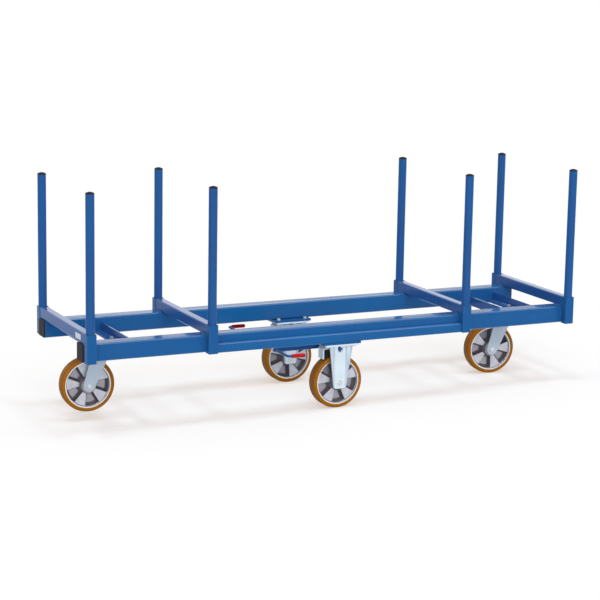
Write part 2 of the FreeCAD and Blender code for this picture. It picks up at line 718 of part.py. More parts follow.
def build_carrier():
    """Angle profile across the frame, with the holes for two castor bolts."""
    body = new_body("Carrier")
    profile = sketch_on(body, "XZ_Plane")
    polygon(profile, [("carrier_offset", "0"), ("carrier_offset", "carrier_web"),
                      ("carrier_inner", "carrier_web"), ("carrier_inner", "carrier_sheet"),
                      ("carrier_edge", "carrier_sheet"), ("carrier_edge", "0")])
    pad(body, profile, "carrier_length", both_ways=True)
    inner = amount("carrier_inner")
    sheet_top = amount("carrier_sheet")

    def in_corner(edge):
        middle = edge.BoundBox.Center
        return abs(middle.x - inner) < TOUCH and abs(middle.z - sheet_top) < TOUCH

    round_edges(body, in_corner, "carrier_fillet")
    holes = sketch_on(body, "XY_Plane")
    for y in ("-bolt_half_width", "bolt_half_width"):
        circle(holes, "bolt_hole", "bolt_half_length", y)
    cut_through(body, holes)
    return body


def build_carriers():
    """Two facing angle profiles over each swivel castor."""
    for name, x in (("left", "-swivel_place"), ("right", "swivel_place")):
        pair = [place(build_carrier(), x=x, z="swivel_base", turn=turn) for turn in (0, 180)]
        add_node(f"castor_carriers_{name}", group(pair))


def build_adaptors():
    """Plates welded under the rails for the fixed castors."""
    body = new_body("Adaptor")
    outline = sketch_on(body, "XY_Plane")
    rectangle(outline, "adaptor_half_length", "plate_half_width")
    pad(body, outline, "adaptor_thickness")
    holes = sketch_on(body, "XY_Plane")
    bolt_circles(holes)
    cut_through(body, holes)
    place(body, y="-rail_line", z="castor_height")
    add_node("adaptor_plates", group([body, mirror(body)]))


def build_castor_plate(z):
    """Castor plate with rounded corners and four bolt holes, its underside at a height."""
    body = new_body("CastorPlate")
    outline = sketch_on(body, "XY_Plane")
    rectangle(outline, "plate_half_length", "plate_half_width")
    pad(body, outline, "plate_thickness")
    round_corners(body, "xy", "plate_corner")
    holes = sketch_on(body, "XY_Plane")
    bolt_circles(holes)
    cut_through(body, holes)
    return place(body, z=z)


def build_fixed_leg(turn, draw_brake_hole):
    """Pressed leg: a flat panel with flanges leaning outwards, trimmed to a tapering outline."""
    hat = new_body("LegSheet")
    section = sketch_on(hat, "XY_Plane", "-foot_drop")
    polygon(section, [("-edge_half", "flare_outer"), ("-panel_half", "leg_outer"),
                      ("panel_half", "leg_outer"), ("edge_half", "flare_outer"),
                      ("edge_half", "flare_inner"), ("panel_half", "leg_inner"),
                      ("-panel_half", "leg_inner"), ("-edge_half", "flare_inner")])
    pad(hat, section, "hat_height")
    hat.Placement = FreeCAD.Placement(FreeCAD.Vector(), FreeCAD.Rotation(Z_AXIS, turn))
    blank = new_body("LegOutline")
    outline = sketch_on(blank, "XZ_Plane")
    polygon(outline, [("-edge_half", "leg_height"), ("edge_half", "leg_height"),
                      ("foot_half", "-foot_start"), ("foot_half", "-foot_drop"),
                      ("-foot_half", "-foot_drop"), ("-foot_half", "-foot_start")])
    pad(blank, outline, "outline_width", both_ways=True)
    foot = -amount("foot_drop")
    side = amount("foot_half")

    def at_foot(edge):
        middle = edge.BoundBox.Center
        across = edge.BoundBox.YLength > TOUCH
        return across and abs(middle.z - foot) < TOUCH and abs(abs(middle.x) - side) < TOUCH

    round_edges(blank, at_foot, "foot_corner")
    holes = sketch_on(blank, "XZ_Plane")
    circle(holes, "axle_bore")
    draw_brake_hole(holes)
    cut_through(blank, holes)
    leg = doc.addObject("Part::Common", "Leg")
    leg.Base = hat
    leg.Tool = blank
    return leg


def build_fixed_forks():
    """Fixed fork: a castor plate with two pressed legs."""
    outer = build_fixed_leg(180, lambda holes: upright_slot(holes, "slot_radius", "slot_low", "slot_high"))
    inner = build_fixed_leg(0, lambda holes: circle(holes, "bush_radius", "0", "brake_rise"))
    fork = fuse(build_castor_plate("leg_height"), outer, inner)
    place(fork, y="-rail_line", z="wheel_radius")
    add_node("fixed_fork_front", fork)
    add_node("fixed_fork_rear", mirror(fork))


def draw_sector(sketch):
    """Sector between two arcs about the sketch's origin, its sides from the root to the rim."""
    corners = [("root_reach", "-root_side"), ("rim_reach", "-rim_side"),
               ("rim_reach", "rim_side"), ("root_reach", "root_side")]
    points = [FreeCAD.Vector(amount(x), amount(y), 0) for x, y in corners]
    low = sketch.addGeometry(Part.LineSegment(points[0], points[1]), False)
    high = sketch.addGeometry(Part.LineSegment(points[2], points[3]), False)
    for line, first in ((low, 0), (high, 2)):
        pin(sketch, line, 1, corners[first])
        pin(sketch, line, 2, corners[first + 1])
    for radius, angle, ends in (("sector_rim", "rim_angle", ((low, 2), (high, 1))),
                                ("sector_root", "root_angle", ((low, 1), (high, 2)))):
        curve = Part.Circle(FreeCAD.Vector(), Z_AXIS, amount(radius))
        spread = math.radians(amount(angle))
        arc = sketch.addGeometry(Part.ArcOfCircle(curve, -spread, spread), False)
        for end, (line, point) in enumerate(ends, start=1):
            sketch.addConstraint(Sketcher.Constraint("Coincident", arc, end, line, point))
        sketch.addConstraint(Sketcher.Constraint("PointOnObject", arc, 3, -2))


def cut_sector(body, spin, backwards):
    """Cut one sloped pocket into a face of the wheel disc, at an angle round the wheel."""
    sketch = sketch_on(body, "XZ_Plane")
    sketch.AttachmentOffset = FreeCAD.Placement(FreeCAD.Vector(), FreeCAD.Rotation(Z_AXIS, spin))
    sketch.setExpression("AttachmentOffset.Base.z", term("-disc_half" if backwards else "disc_half"))
    draw_sector(sketch)
    feature = body.newObject("PartDesign::Pocket", "Pocket")
    feature.Profile = sketch
    feature.Reversed = backwards
    return bind(feature, Length="pocket_depth", TaperAngle="-pocket_draft")


def build_rim(spin):
    """Cast wheel centre: raised sectors on one face lie behind the pockets of the other."""
    body = new_body("Rim")
    profile = sketch_on(body, "XY_Plane")
    upper = [("bearing_radius", "bearing_stop"), ("bearing_radius", "hub_half"),
             ("hub_radius", "hub_half"), ("hub_radius", "groove_half"), ("sector_root", "groove_half"),
             ("sector_root", "disc_half"), ("sector_rim", "disc_half"), ("sector_rim", "groove_half"),
             ("rim_inner", "groove_half"), ("rim_inner", "rim_half"), ("rim_radius", "rim_half")]
    lower = [(radius, f"-{height}") for radius, height in reversed(upper)]
    core = [("core_radius", "-bearing_stop"), ("core_radius", "bearing_stop")]
    polygon(profile, upper + lower + core)
    revolve(body, profile)
    start = amount(spin)
    front = cut_sector(body, start + amount("sector_step"), False)
    back = cut_sector(body, start, True)
    pattern = body.newObject("PartDesign::PolarPattern", "PolarPattern")
    pattern.Originals = [front, back]
    pattern.Axis = (origin_part(body, "Y_Axis"), [""])
    pattern.Angle = 360
    bind(pattern, Occurrences="sector_count")
    body.Tip = pattern
    return body


def build_tyre():
    """Moulded tyre with rounded shoulders."""
    body = new_body("Tyre")
    profile = sketch_on(body, "XY_Plane")
    polygon(profile, [("rim_radius", "-wheel_half"), ("wheel_radius", "-wheel_half"),
                      ("wheel_radius", "wheel_half"), ("rim_radius", "wheel_half")])
    revolve(body, profile)
    tread = amount("wheel_radius")
    round_edges(body, lambda edge: edge.BoundBox.XMax > tread - TOUCH and
                edge.BoundBox.YLength < TOUCH, "tyre_shoulder")
    return body


def build_bearing(turn):
    """Ball bearing with a recessed shield on its outer face."""
    body = new_body("Bearing")
    profile = sketch_on(body, "XY_Plane")
    polygon(profile, [("bearing_bore", "0"), ("bearing_radius", "0"),
                      ("bearing_radius", "bearing_width"), ("shield_outer", "bearing_width"),
                      ("shield_outer", "shield_face"), ("shield_inner", "shield_face"),
                      ("shield_inner", "bearing_width"), ("bearing_bore", "bearing_width")])
    revolve(body, profile)
    return place(body, y="-bearing_stop" if turn else "bearing_stop", turn=turn, axis=X_AXIS)


def build_wheel(name, x, y, z, turn=0):
    """Rim, tyre and two bearings, turned about the upright axis as the castor stands."""
    pair = group([build_bearing(0), build_bearing(180)])
    rim = build_rim(f"{name}_spin")
    for label, piece in (("wheel_rim", rim), ("tyre", build_tyre()), ("wheel_bearings", pair)):
        add_node(f"{label}_{name}", place(piece, x=x, y=y, z=z, turn=turn))


def build_axle():
    """Axle bolt, its nut and the sleeve that the bearings run on, along Y."""
    head = hexagon("axle_head_radius", "axle_head_height")
    place(head, y="-leg_outer", turn=90, axis=X_AXIS)
    shank = place(cylinder("axle_radius", "axle_length"), y="-leg_outer", turn=-90, axis=X_AXIS)
    nut = subtract(hexagon("axle_head_radius", "axle_head_height"),
                   cylinder("axle_radius", "axle_head_height"))
    place(nut, y="leg_outer", turn=-90, axis=X_AXIS)
    sleeve = ring("sleeve_radius", "axle_bore", "fork_gap")
    place(sleeve, y="-leg_inner", turn=-90, axis=X_AXIS)
    return group([fuse(head, shank), nut, sleeve])


def build_fixed_castors():
    """Wheels and axles of the two fixed castors under the rails."""
    axle = place(build_axle(), y="-rail_line", z="wheel_radius")
    add_node("fixed_axles", group([axle, mirror(axle)]))
    build_wheel("front", "0", "-rail_line", "wheel_radius")
    build_wheel("rear", "0", "rail_line", "wheel_radius")


def build_swivel_head():
    """Castor plate with the ball race, the king pin and its nut underneath, its top at zero."""
    body = new_body("SwivelHead")
    outline = sketch_on(body, "XY_Plane", "-plate_thickness")
    rectangle(outline, "plate_half_length", "plate_half_width")
    pad(body, outline, "plate_thickness")
    round_corners(body, "xy", "plate_corner")
    holes = sketch_on(body, "XY_Plane")
    bolt_circles(holes)
    cut_through(body, holes)
    profile = sketch_on(body, "XZ_Plane")
    polygon(profile, [("0", "-plate_thickness"), ("race_radius", "-plate_thickness"),
                      ("race_radius", "-race_base"), ("pin_radius", "-race_base"),
                      ("pin_radius", "-pin_nut_top"), ("pin_nut_radius", "-pin_nut_top"),
                      ("pin_nut_radius", "-pin_nut_base"), ("0", "-pin_nut_base")])
    revolve(body, profile)
    return body


def tangent_point(corner, centre, radius, side):
    """Where the line from a corner touches a circle, on one side of it."""
    reach = corner.sub(centre)
    angle = math.atan2(reach.y, reach.x) + side * math.acos(radius / reach.Length)
    return centre.add(FreeCAD.Vector(radius * math.cos(angle), radius * math.sin(angle), 0))


def draw_swivel_leg(sketch):
    """Leg outline: wide at the crown, tapering to a round end about the axle."""
    back = FreeCAD.Vector(-amount("crown_back"), amount("crown_top"), 0)
    front = FreeCAD.Vector(amount("crown_front"), amount("crown_top"), 0)
    axle = FreeCAD.Vector(-amount("castor_trail"), 0, 0)
    radius = amount("leg_end_radius")
    low_back = tangent_point(back, axle, radius, 1)
    low_front = tangent_point(front, axle, radius, -1)
    start = math.atan2(low_back.y - axle.y, low_back.x - axle.x)
    end = math.atan2(low_front.y - axle.y, low_front.x - axle.x)
    top = sketch.addGeometry(Part.LineSegment(front, back), False)
    fall = sketch.addGeometry(Part.LineSegment(back, low_back), False)
    curve = Part.Circle(axle, Z_AXIS, radius)
    arc = sketch.addGeometry(Part.ArcOfCircle(curve, start, end), False)
    rise = sketch.addGeometry(Part.LineSegment(low_front, front), False)
    pin(sketch, top, 1, ("crown_front", "crown_top"))
    pin(sketch, top, 2, ("-crown_back", "crown_top"))
    pin(sketch, arc, 3, ("-castor_trail", "0"))
    set_radius(sketch, arc, "leg_end_radius")
    sketch.addConstraint(Sketcher.Constraint("Coincident", top, 2, fall, 1))
    sketch.addConstraint(Sketcher.Constraint("Tangent", fall, 2, arc, 1))
    sketch.addConstraint(Sketcher.Constraint("Tangent", arc, 2, rise, 1))
    sketch.addConstraint(Sketcher.Constraint("Coincident", rise, 2, top, 1))


def build_swivel_fork():
    """Swivel fork: a crown under the ball race and two flat legs that trail the axis."""
    body = new_body("SwivelFork")
    leg = sketch_on(body, "XZ_Plane")
    draw_swivel_leg(leg)
    pad(body, leg, "fork_width", both_ways=True)
    round_corners(body, "yz", "crown_bend")
    space = sketch_on(body, "YZ_Plane")
    polygon(space, [("-leg_inner", "-leg_end_drop"), ("leg_inner", "-leg_end_drop"),
                    ("leg_inner", "crown_base"), ("-leg_inner", "crown_base")])
    cut_through(body, space)
    crown = sketch_on(body, "XY_Plane", "crown_base")
    circle(crown, "race_radius")
    pad(body, crown, "crown_thickness")
    bore = sketch_on(body, "XY_Plane", "crown_base")
    circle(bore, "pin_hole")
    cut_through(body, bore)
    axle_hole = sketch_on(body, "XZ_Plane")
    circle(axle_hole, "axle_bore", "-castor_trail", "0")
    cut_through(body, axle_hole)
    return body


def build_swivel_castors():
    """Swivel castors at both ends, turned as they stand."""
    castors = (("left", "-swivel_place", "-left_wheel_place", "left_side", "left_turn"),
               ("right", "swivel_place", "right_wheel_place", "right_side", "right_turn"))
    heads = []
    for name, axis_x, wheel_x, wheel_y, turn_size in castors:
        turn = -amount(turn_size)
        heads.append(place(build_swivel_head(), x=axis_x, z="swivel_base"))
        fork = place(build_swivel_fork(), x=axis_x, z="swivel_axle", turn=turn)
        add_node(f"swivel_fork_{name}", fork)
        axle = place(build_axle(), x=wheel_x, y=wheel_y, z="swivel_axle", turn=turn)
        add_node(f"swivel_axle_{name}", axle)
        build_wheel(name, wheel_x, wheel_y, "swivel_axle", turn)
    add_node("swivel_heads", group(heads))


def build_bolt(length):
    """Hexagon bolt, its head under the origin."""
    head = place(hexagon("bolt_head_radius", "bolt_head_height"), z="-bolt_head_height")
    return fuse(head, cylinder("bolt_radius", length))


def build_nut():
    """Hexagon nut that sits on the origin."""
    return subtract(hexagon("bolt_head_radius", "nut_height"), cylinder("bolt_radius", "nut_height"))


def build_bolt_set(inner_length, outer_length, nut_seat, nut_sides):
    """Bolts at the castor plate's four holes, with nuts on the given sides."""
    pieces = []
    for x in ("-bolt_half_length", "bolt_half_length"):
        for y, length in (("bolt_half_width", inner_length), ("-bolt_half_width", outer_length)):
            pieces.append(place(build_bolt(length), x=x, y=y))
            if y in nut_sides:
                pieces.append(place(build_nut(), x=x, y=y, z=nut_seat))
    return group(pieces)


def build_fasteners():
    """Castor bolts from below. The rails leave room for nuts on the inner side only."""
    fixed = build_bolt_set("long_bolt_length", "short_bolt_length", "short_bolt_length", ("bolt_half_width",))
    sets = [place(fixed, y="-rail_line", z="fixed_plate_base")]
    sets.append(mirror(fixed))
    both_sides = ("bolt_half_width", "-bolt_half_width")
    for x in ("-swivel_place", "swivel_place"):
        ends = build_bolt_set("end_bolt_length", "end_bolt_length", "end_nut_seat", both_sides)
        sets.append(place(ends, x=x, z="end_bolt_base"))
    add_node("castor_fasteners", group(sets))


def build_bush():
    """Flanged bush in the inner leg that carries the brake shaft, along Y."""
    body = new_body("Bush")
    profile = sketch_on(body, "XY_Plane")
    polygon(profile, [("bush_bore", "bush_end"), ("bush_radius", "bush_end"),
                      ("bush_radius", "leg_outer"), ("bush_flange_radius", "leg_outer"),
                      ("bush_flange_radius", "bush_face"), ("bush_bore", "bush_face")])
    revolve(body, profile)
    return body


def build_crank():
    """Bent rod from the lever's end out to the grip."""
    body = new_body("Crank")
    path = sketch_on(body, "XY_Plane")
    bend = amount("crank_bend")
    corner = FreeCAD.Vector(0, -amount("crank_turn"), 0)
    centre = corner.add(FreeCAD.Vector(bend, 0, 0))
    foot = centre.add(FreeCAD.Vector(0, -bend, 0))
    tip = FreeCAD.Vector(amount("rod_length"), -amount("crank_length"), 0)
    first = path.addGeometry(Part.LineSegment(FreeCAD.Vector(), corner), False)
    curve = Part.Circle(centre, Z_AXIS, bend)
    arc = path.addGeometry(Part.ArcOfCircle(curve, math.pi, 1.5 * math.pi), False)
    last = path.addGeometry(Part.LineSegment(foot, tip), False)
    pin(path, first, 1, ("0", "0"))
    pin(path, first, 2, ("0", "-crank_turn"))
    pin(path, last, 2, ("rod_length", "-crank_length"))
    path.addConstraint(Sketcher.Constraint("Tangent", first, 2, arc, 1))
    path.addConstraint(Sketcher.Constraint("Tangent", arc, 2, last, 1))
    path.addConstraint(Sketcher.Constraint("Horizontal", last))
    section = sketch_on(body, "XZ_Plane")
    circle(section, "crank_radius")
    rod = body.newObject("PartDesign::AdditivePipe", "Pipe")
    rod.Profile = section
    rod.Spine = (path, ["Edge1", "Edge2", "Edge3"])
    return body


def build_lever():
    """Brake lever: shaft, boss, round bar and bent rod in one weldment, about its shaft."""
    shaft = place(cylinder("brake_shaft_radius", "shaft_length"), y="-leg_outer", turn=-90, axis=X_AXIS)
    boss = place(cylinder("boss_radius", "boss_length"), y="boss_start", turn=-90, axis=X_AXIS)
    bar = cylinder("lever_radius", "lever_length")
    place(bar, y="lever_line", z="-lever_drop", turn=-90, axis=Y_AXIS)
    dome = bind(doc.addObject("Part::Sphere", "Sphere"), Radius="lever_radius")
    crank = build_crank()
    for piece in (dome, crank):
        place(piece, x="-lever_length", y="lever_line", z="-lever_drop")
    return fuse(shaft, boss, bar, dome, crank)


def build_grip():
    """Moulded grip with a closed, rounded end, along X."""
    body = new_body("Grip")
    outline = sketch_on(body, "YZ_Plane")
    circle(outline, "grip_radius")
    pad(body, outline, "grip_length")
    far_end = amount("grip_length")
    round_edges(body, lambda edge: edge.BoundBox.XMin > far_end - TOUCH, "grip_round")
    bore = sketch_on(body, "YZ_Plane")
    circle(bore, "grip_bore")
    hollow = body.newObject("PartDesign::Pocket", "Pocket")
    hollow.Profile = bore
    hollow.Reversed = True
    bind(hollow, Length="grip_depth")
    return body


def build_shoe():
    """Brake shoe: a hub on the shaft, a flat arm and a front plate turned down over the tread."""
    hub = place(cylinder("shoe_hub_radius", "shoe_width"), y="-shoe_half", turn=-90, axis=X_AXIS)
    arm = box("shoe_reach", "shoe_width", "shoe_sheet")
    place(arm, x="-shoe_reach", y="-shoe_half", z="-shoe_under")
    front = box("shoe_sheet", "shoe_width", "shoe_drop")
    place(front, x="-shoe_reach", y="-shoe_half", z="-shoe_front_base")
    bore = place(cylinder("shoe_bore", "shoe_width"), y="-shoe_half", turn=-90, axis=X_AXIS)
    return subtract(fuse(hub, arm, front), bore)


def build_pad():
    """Brake pad under the shoe's arm, hollowed to the wheel's curve."""
    block = box("pad_length", "pad_width", "pad_block")
    place(block, x="-pad_front", y="-pad_half", z="-pad_block_base")
    wheel = place(cylinder("pad_radius", "pad_width"), y="-pad_half", z="-brake_rise", turn=-90, axis=X_AXIS)
    return subtract(block, wheel)


def build_brakes():
    """Hand brake of each fixed castor, about the shaft through its fork."""
    bush = place(build_bush(), y="-rail_line", z="brake_height")
    add_node("brake_bushes", group([bush, mirror(bush)]))
    grip = place(build_grip(), x="-grip_place", y="-grip_line", z="lever_height")
    moving = (("brake_lever", build_lever()), ("brake_shoe", build_shoe()), ("brake_pad", build_pad()))
    for label, piece in moving:
        place(piece, y="-rail_line", z="brake_height")
        add_node(f"{label}_front", piece)
        add_node(f"{label}_rear", mirror(piece))
    add_node("brake_grip_front", grip)
    add_node("brake_grip_rear", mirror(grip))


def check_document():
    """Stop if an object failed, a cut removed nothing or a sub-part is no sound solid."""
    for item in doc.Objects:
        if "Invalid" in item.State or "Error" in item.State:
            raise RuntimeError(f"{item.Name} ({item.Label}) failed: {item.State}")
        if item.TypeId == "PartDesign::Pocket":
            removed = item.BaseFeature.Shape.Volume - item.Shape.Volume
            if removed < 1:
                raise RuntimeError(f"{item.Name} cuts nothing")
    for label, item in nodes.items():
        if item.Shape.isNull() or not item.Shape.isValid() or not item.Shape.Solids:
            raise RuntimeError(f"{label} is not a valid solid")


def main():
    """Build the cart and write one file for each sub-part."""
    fill_sheet()
    build_rails()
    build_beams()
    build_pockets()
    build_stakes()
    build_side_tubes()
    build_carriers()
    build_adaptors()
    build_fixed_forks()
    build_fixed_castors()
    build_swivel_castors()
    build_fasteners()
    build_brakes()
    doc.recompute()
    check_document()
    os.makedirs("parts", exist_ok=True)
    for label, item in nodes.items():
        item.Shape.exportStep(os.path.join("parts", f"{label}.step"))
    solids = sum(len(item.Shape.Solids) for item in nodes.values())
    print(f"{len(nodes)} sub-parts, {solids} solids")


main()
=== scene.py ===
"""Studio scene of the long material cart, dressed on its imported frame.

The frame's own solids keep their places and get procedural finishes. Weld seams, lock-nut rings and a
blank plate are added as pieces that ride on the frame.
"""
from __future__ import annotations

import json
import logging
import math
from dataclasses import dataclass, field
from enum import Enum

import bmesh
import bpy
from mathutils import Matrix, Vector

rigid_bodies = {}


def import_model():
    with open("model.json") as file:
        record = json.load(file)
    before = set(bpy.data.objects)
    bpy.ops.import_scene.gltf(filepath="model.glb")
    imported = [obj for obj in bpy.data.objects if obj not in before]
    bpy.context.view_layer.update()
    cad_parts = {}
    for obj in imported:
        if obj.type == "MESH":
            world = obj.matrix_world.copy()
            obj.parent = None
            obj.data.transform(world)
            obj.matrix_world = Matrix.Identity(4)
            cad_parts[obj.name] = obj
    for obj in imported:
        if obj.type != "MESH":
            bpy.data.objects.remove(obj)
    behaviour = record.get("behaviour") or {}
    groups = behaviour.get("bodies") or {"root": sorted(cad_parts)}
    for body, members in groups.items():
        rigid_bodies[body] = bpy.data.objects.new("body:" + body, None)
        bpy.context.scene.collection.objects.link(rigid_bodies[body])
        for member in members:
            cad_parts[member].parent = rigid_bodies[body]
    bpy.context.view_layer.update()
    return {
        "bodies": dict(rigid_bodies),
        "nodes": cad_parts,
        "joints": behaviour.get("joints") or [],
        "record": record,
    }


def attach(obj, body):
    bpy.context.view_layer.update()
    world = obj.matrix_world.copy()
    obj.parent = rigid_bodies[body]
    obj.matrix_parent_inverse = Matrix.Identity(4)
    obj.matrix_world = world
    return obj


LOG = logging.getLogger("cart")
SWIVEL_PLACE = 1.056
RAIL_LINE = 0.270
WHITE = (1.0, 1.0, 1.0)
Colour = tuple[float, float, float]
Point = tuple[float, float, float]
Range = tuple[float, float]
Socket = bpy.types.NodeSocket
Material = bpy.types.Material


class Side(Enum):
    """Ends and sides of the cart that name its wheels."""

    FRONT = "front"
    REAR = "rear"
    LEFT = "left"
    RIGHT = "right"


class Slot(Enum):
    """Names of two material slots of the record."""

    BLUE = "blue_paint"
    PLASTIC = "black_plastic"


class Kind(Enum):
    """Kinds of socket on a shared effect."""

    COLOUR = "NodeSocketColor"
    VALUE = "NodeSocketFloat"
    VECTOR = "NodeSocketVector"


@dataclass(frozen=True)
class NoiseBand:
    """Noise of which one band of values is spread over a range."""

    scale: float
    detail: float
    band: Range
    spread: Range = (0.0, 1.0)


def rgba(colour: Colour) -> tuple[float, float, float, float]:
    """Opaque colour for a socket."""
    return (*colour, 1.0)


def rough_ends(rough: Range) -> dict[str, float]:
    """Inputs of an effect that takes a range of roughness."""
    return {"Rough_Low": rough[0], "Rough_High": rough[1]}


class NodeDesk:
    """Lays out the nodes of one tree."""

    def __init__(self, tree: bpy.types.NodeTree) -> None:
        """Start with an empty tree.

        Args:
            tree: node tree of a material, world or group.
        """
        self.tree = tree
        tree.nodes.clear()

    def put(self, value: object, socket: Socket) -> None:
        """Link an output to an input, or set a plain value on it.

        Args:
            value: output socket, number, colour or vector.
            socket: input that takes it.
        """
        if isinstance(value, Socket):
            self.tree.links.new(value, socket)
        elif socket.type == "RGBA":
            socket.default_value = rgba(value)
        else:
            socket.default_value = value

    def fill(self, node: bpy.types.Node, values: dict[str, object]) -> None:
        """Fill named inputs of a node.

        Args:
            node: node to fill.
            values: what goes into each input, with spaces in a name written as underscores.
        """
        for name, value in values.items():
            self.put(value, node.inputs[name.replace("_", " ")])

    def add(self, kind: str, **values: object) -> bpy.types.Node:
        """Add a node and fill its named inputs.

        Args:
            kind: Blender's name of the node type.
            values: what goes into each input, with spaces in a name written as underscores.

        Returns:
            The new node.
        """
        node = self.tree.nodes.new(kind)
        self.fill(node, values)
        return node

    def operate(self, kind: str, operation: str, values: tuple[object, ...]) -> bpy.types.Node:
        """Add a node that works on its inputs in order.

        Args:
            kind: Blender's name of the node type.
            operation: what it does.
            values: sockets or plain values.

        Returns:
            The new node.
        """
        node = self.add(kind)
        node.operation = operation
        for value, socket in zip(values, node.inputs):
            self.put(value, socket)
        return node

    def math(self, operation: str, *values: object) -> Socket:
        """Result of a math node on sockets or numbers."""
        return self.operate("ShaderNodeMath", operation, values).outputs[0]

    def vector(self, operation: str, *values: object) -> Socket:
        """Vector result of a vector math node."""
        return self.operate("ShaderNodeVectorMath", operation, values).outputs["Vector"]

    def measure(self, operation: str, *values: object) -> Socket:
        """Number that a vector math node finds, such as a length."""
        return self.operate("ShaderNodeVectorMath", operation, values).outputs["Value"]

    def split(self, vector: Socket) -> bpy.types.bpy_prop_collection:
        """Outputs X, Y and Z of a vector."""
        return self.add("ShaderNodeSeparateXYZ", Vector=vector).outputs

    def coordinates(self) -> bpy.types.bpy_prop_collection:
        """Outputs of the texture coordinates, of which Object and Normal are used."""
        return self.add("ShaderNodeTexCoord").outputs

    def span(self, value: Socket, ends: Range, spread: tuple[object, object] = (0.0, 1.0)) -> Socket:
        """Map a range of one value to another, clamped.

        Args:
            value: socket that varies.
            ends: its values at the low and the high end.
            spread: numbers or sockets that these turn into.

        Returns:
            The mapped value.
        """
        node = self.add("ShaderNodeMapRange", Value=value, From_Min=ends[0], From_Max=ends[1],
                        To_Min=spread[0], To_Max=spread[1])
        return node.outputs["Result"]

    def mix(self, factor: object, first: object, second: object) -> Socket:
        """Mix two colours.

        Args:
            factor: socket or number from 0 to 1.
            first: socket or colour at 0.
            second: socket or colour at 1.

        Returns:
            The mixed colour.
        """
        node = self.add("ShaderNodeMix")
        node.data_type = "RGBA"
        named = {"Factor_Float": factor, "A_Color": first, "B_Color": second}
        for socket in node.inputs:
            if socket.identifier in named:
                self.put(named[socket.identifier], socket)
        return next(socket for socket in node.outputs if socket.identifier == "Result_Color")

    def noise(self, where: Socket, scale: object, detail: float) -> Socket:
        """Noise value at coordinates, with a number of octaves."""
        return self.add("ShaderNodeTexNoise", Vector=where, Scale=scale, Detail=detail).outputs[0]

    def banded(self, where: Socket, noise: NoiseBand) -> Socket:
        """Noise with its band of values spread over its range."""
        return self.span(self.noise(where, noise.scale, noise.detail), noise.band, noise.spread)

    def seen(self) -> Socket:
        """Tell what is looked at from what gives light.

        Returns:
            1 for rays of the camera, of reflections and through glass, 0 for the light on surfaces.
        """
        path = self.add("ShaderNodeLightPath").outputs
        seen = self.math("MAXIMUM", path["Is Camera Ray"], path["Is Glossy Ray"])
        return self.math("MAXIMUM", seen, path["Is Transmission Ray"])


class EffectGroup(NodeDesk):
    """Shader node group with named inputs and outputs."""

    def __init__(self, name: str, inputs: dict[str, tuple[Kind, object]], outputs: dict[str, Kind]) -> None:
        """Open an empty group with its sockets.

        Args:
            name: group's name.
            inputs: kind of socket and default by name.
            outputs: kind of socket by name.
        """
        super().__init__(bpy.data.node_groups.new(name, "ShaderNodeTree"))
        sockets = self.tree.interface
        for label, (kind, default) in inputs.items():
            socket = sockets.new_socket(label, in_out="INPUT", socket_type=kind.value)
            socket.default_value = rgba(default) if kind is Kind.COLOUR else default
        for label, kind in outputs.items():
            sockets.new_socket(label, in_out="OUTPUT", socket_type=kind.value)
        self.given = self.add("NodeGroupInput").outputs
        self.result = self.add("NodeGroupOutput")

    def give(self, **values: Socket) -> None:
        """Link results to the group's outputs by name."""
        self.fill(self.result, values)


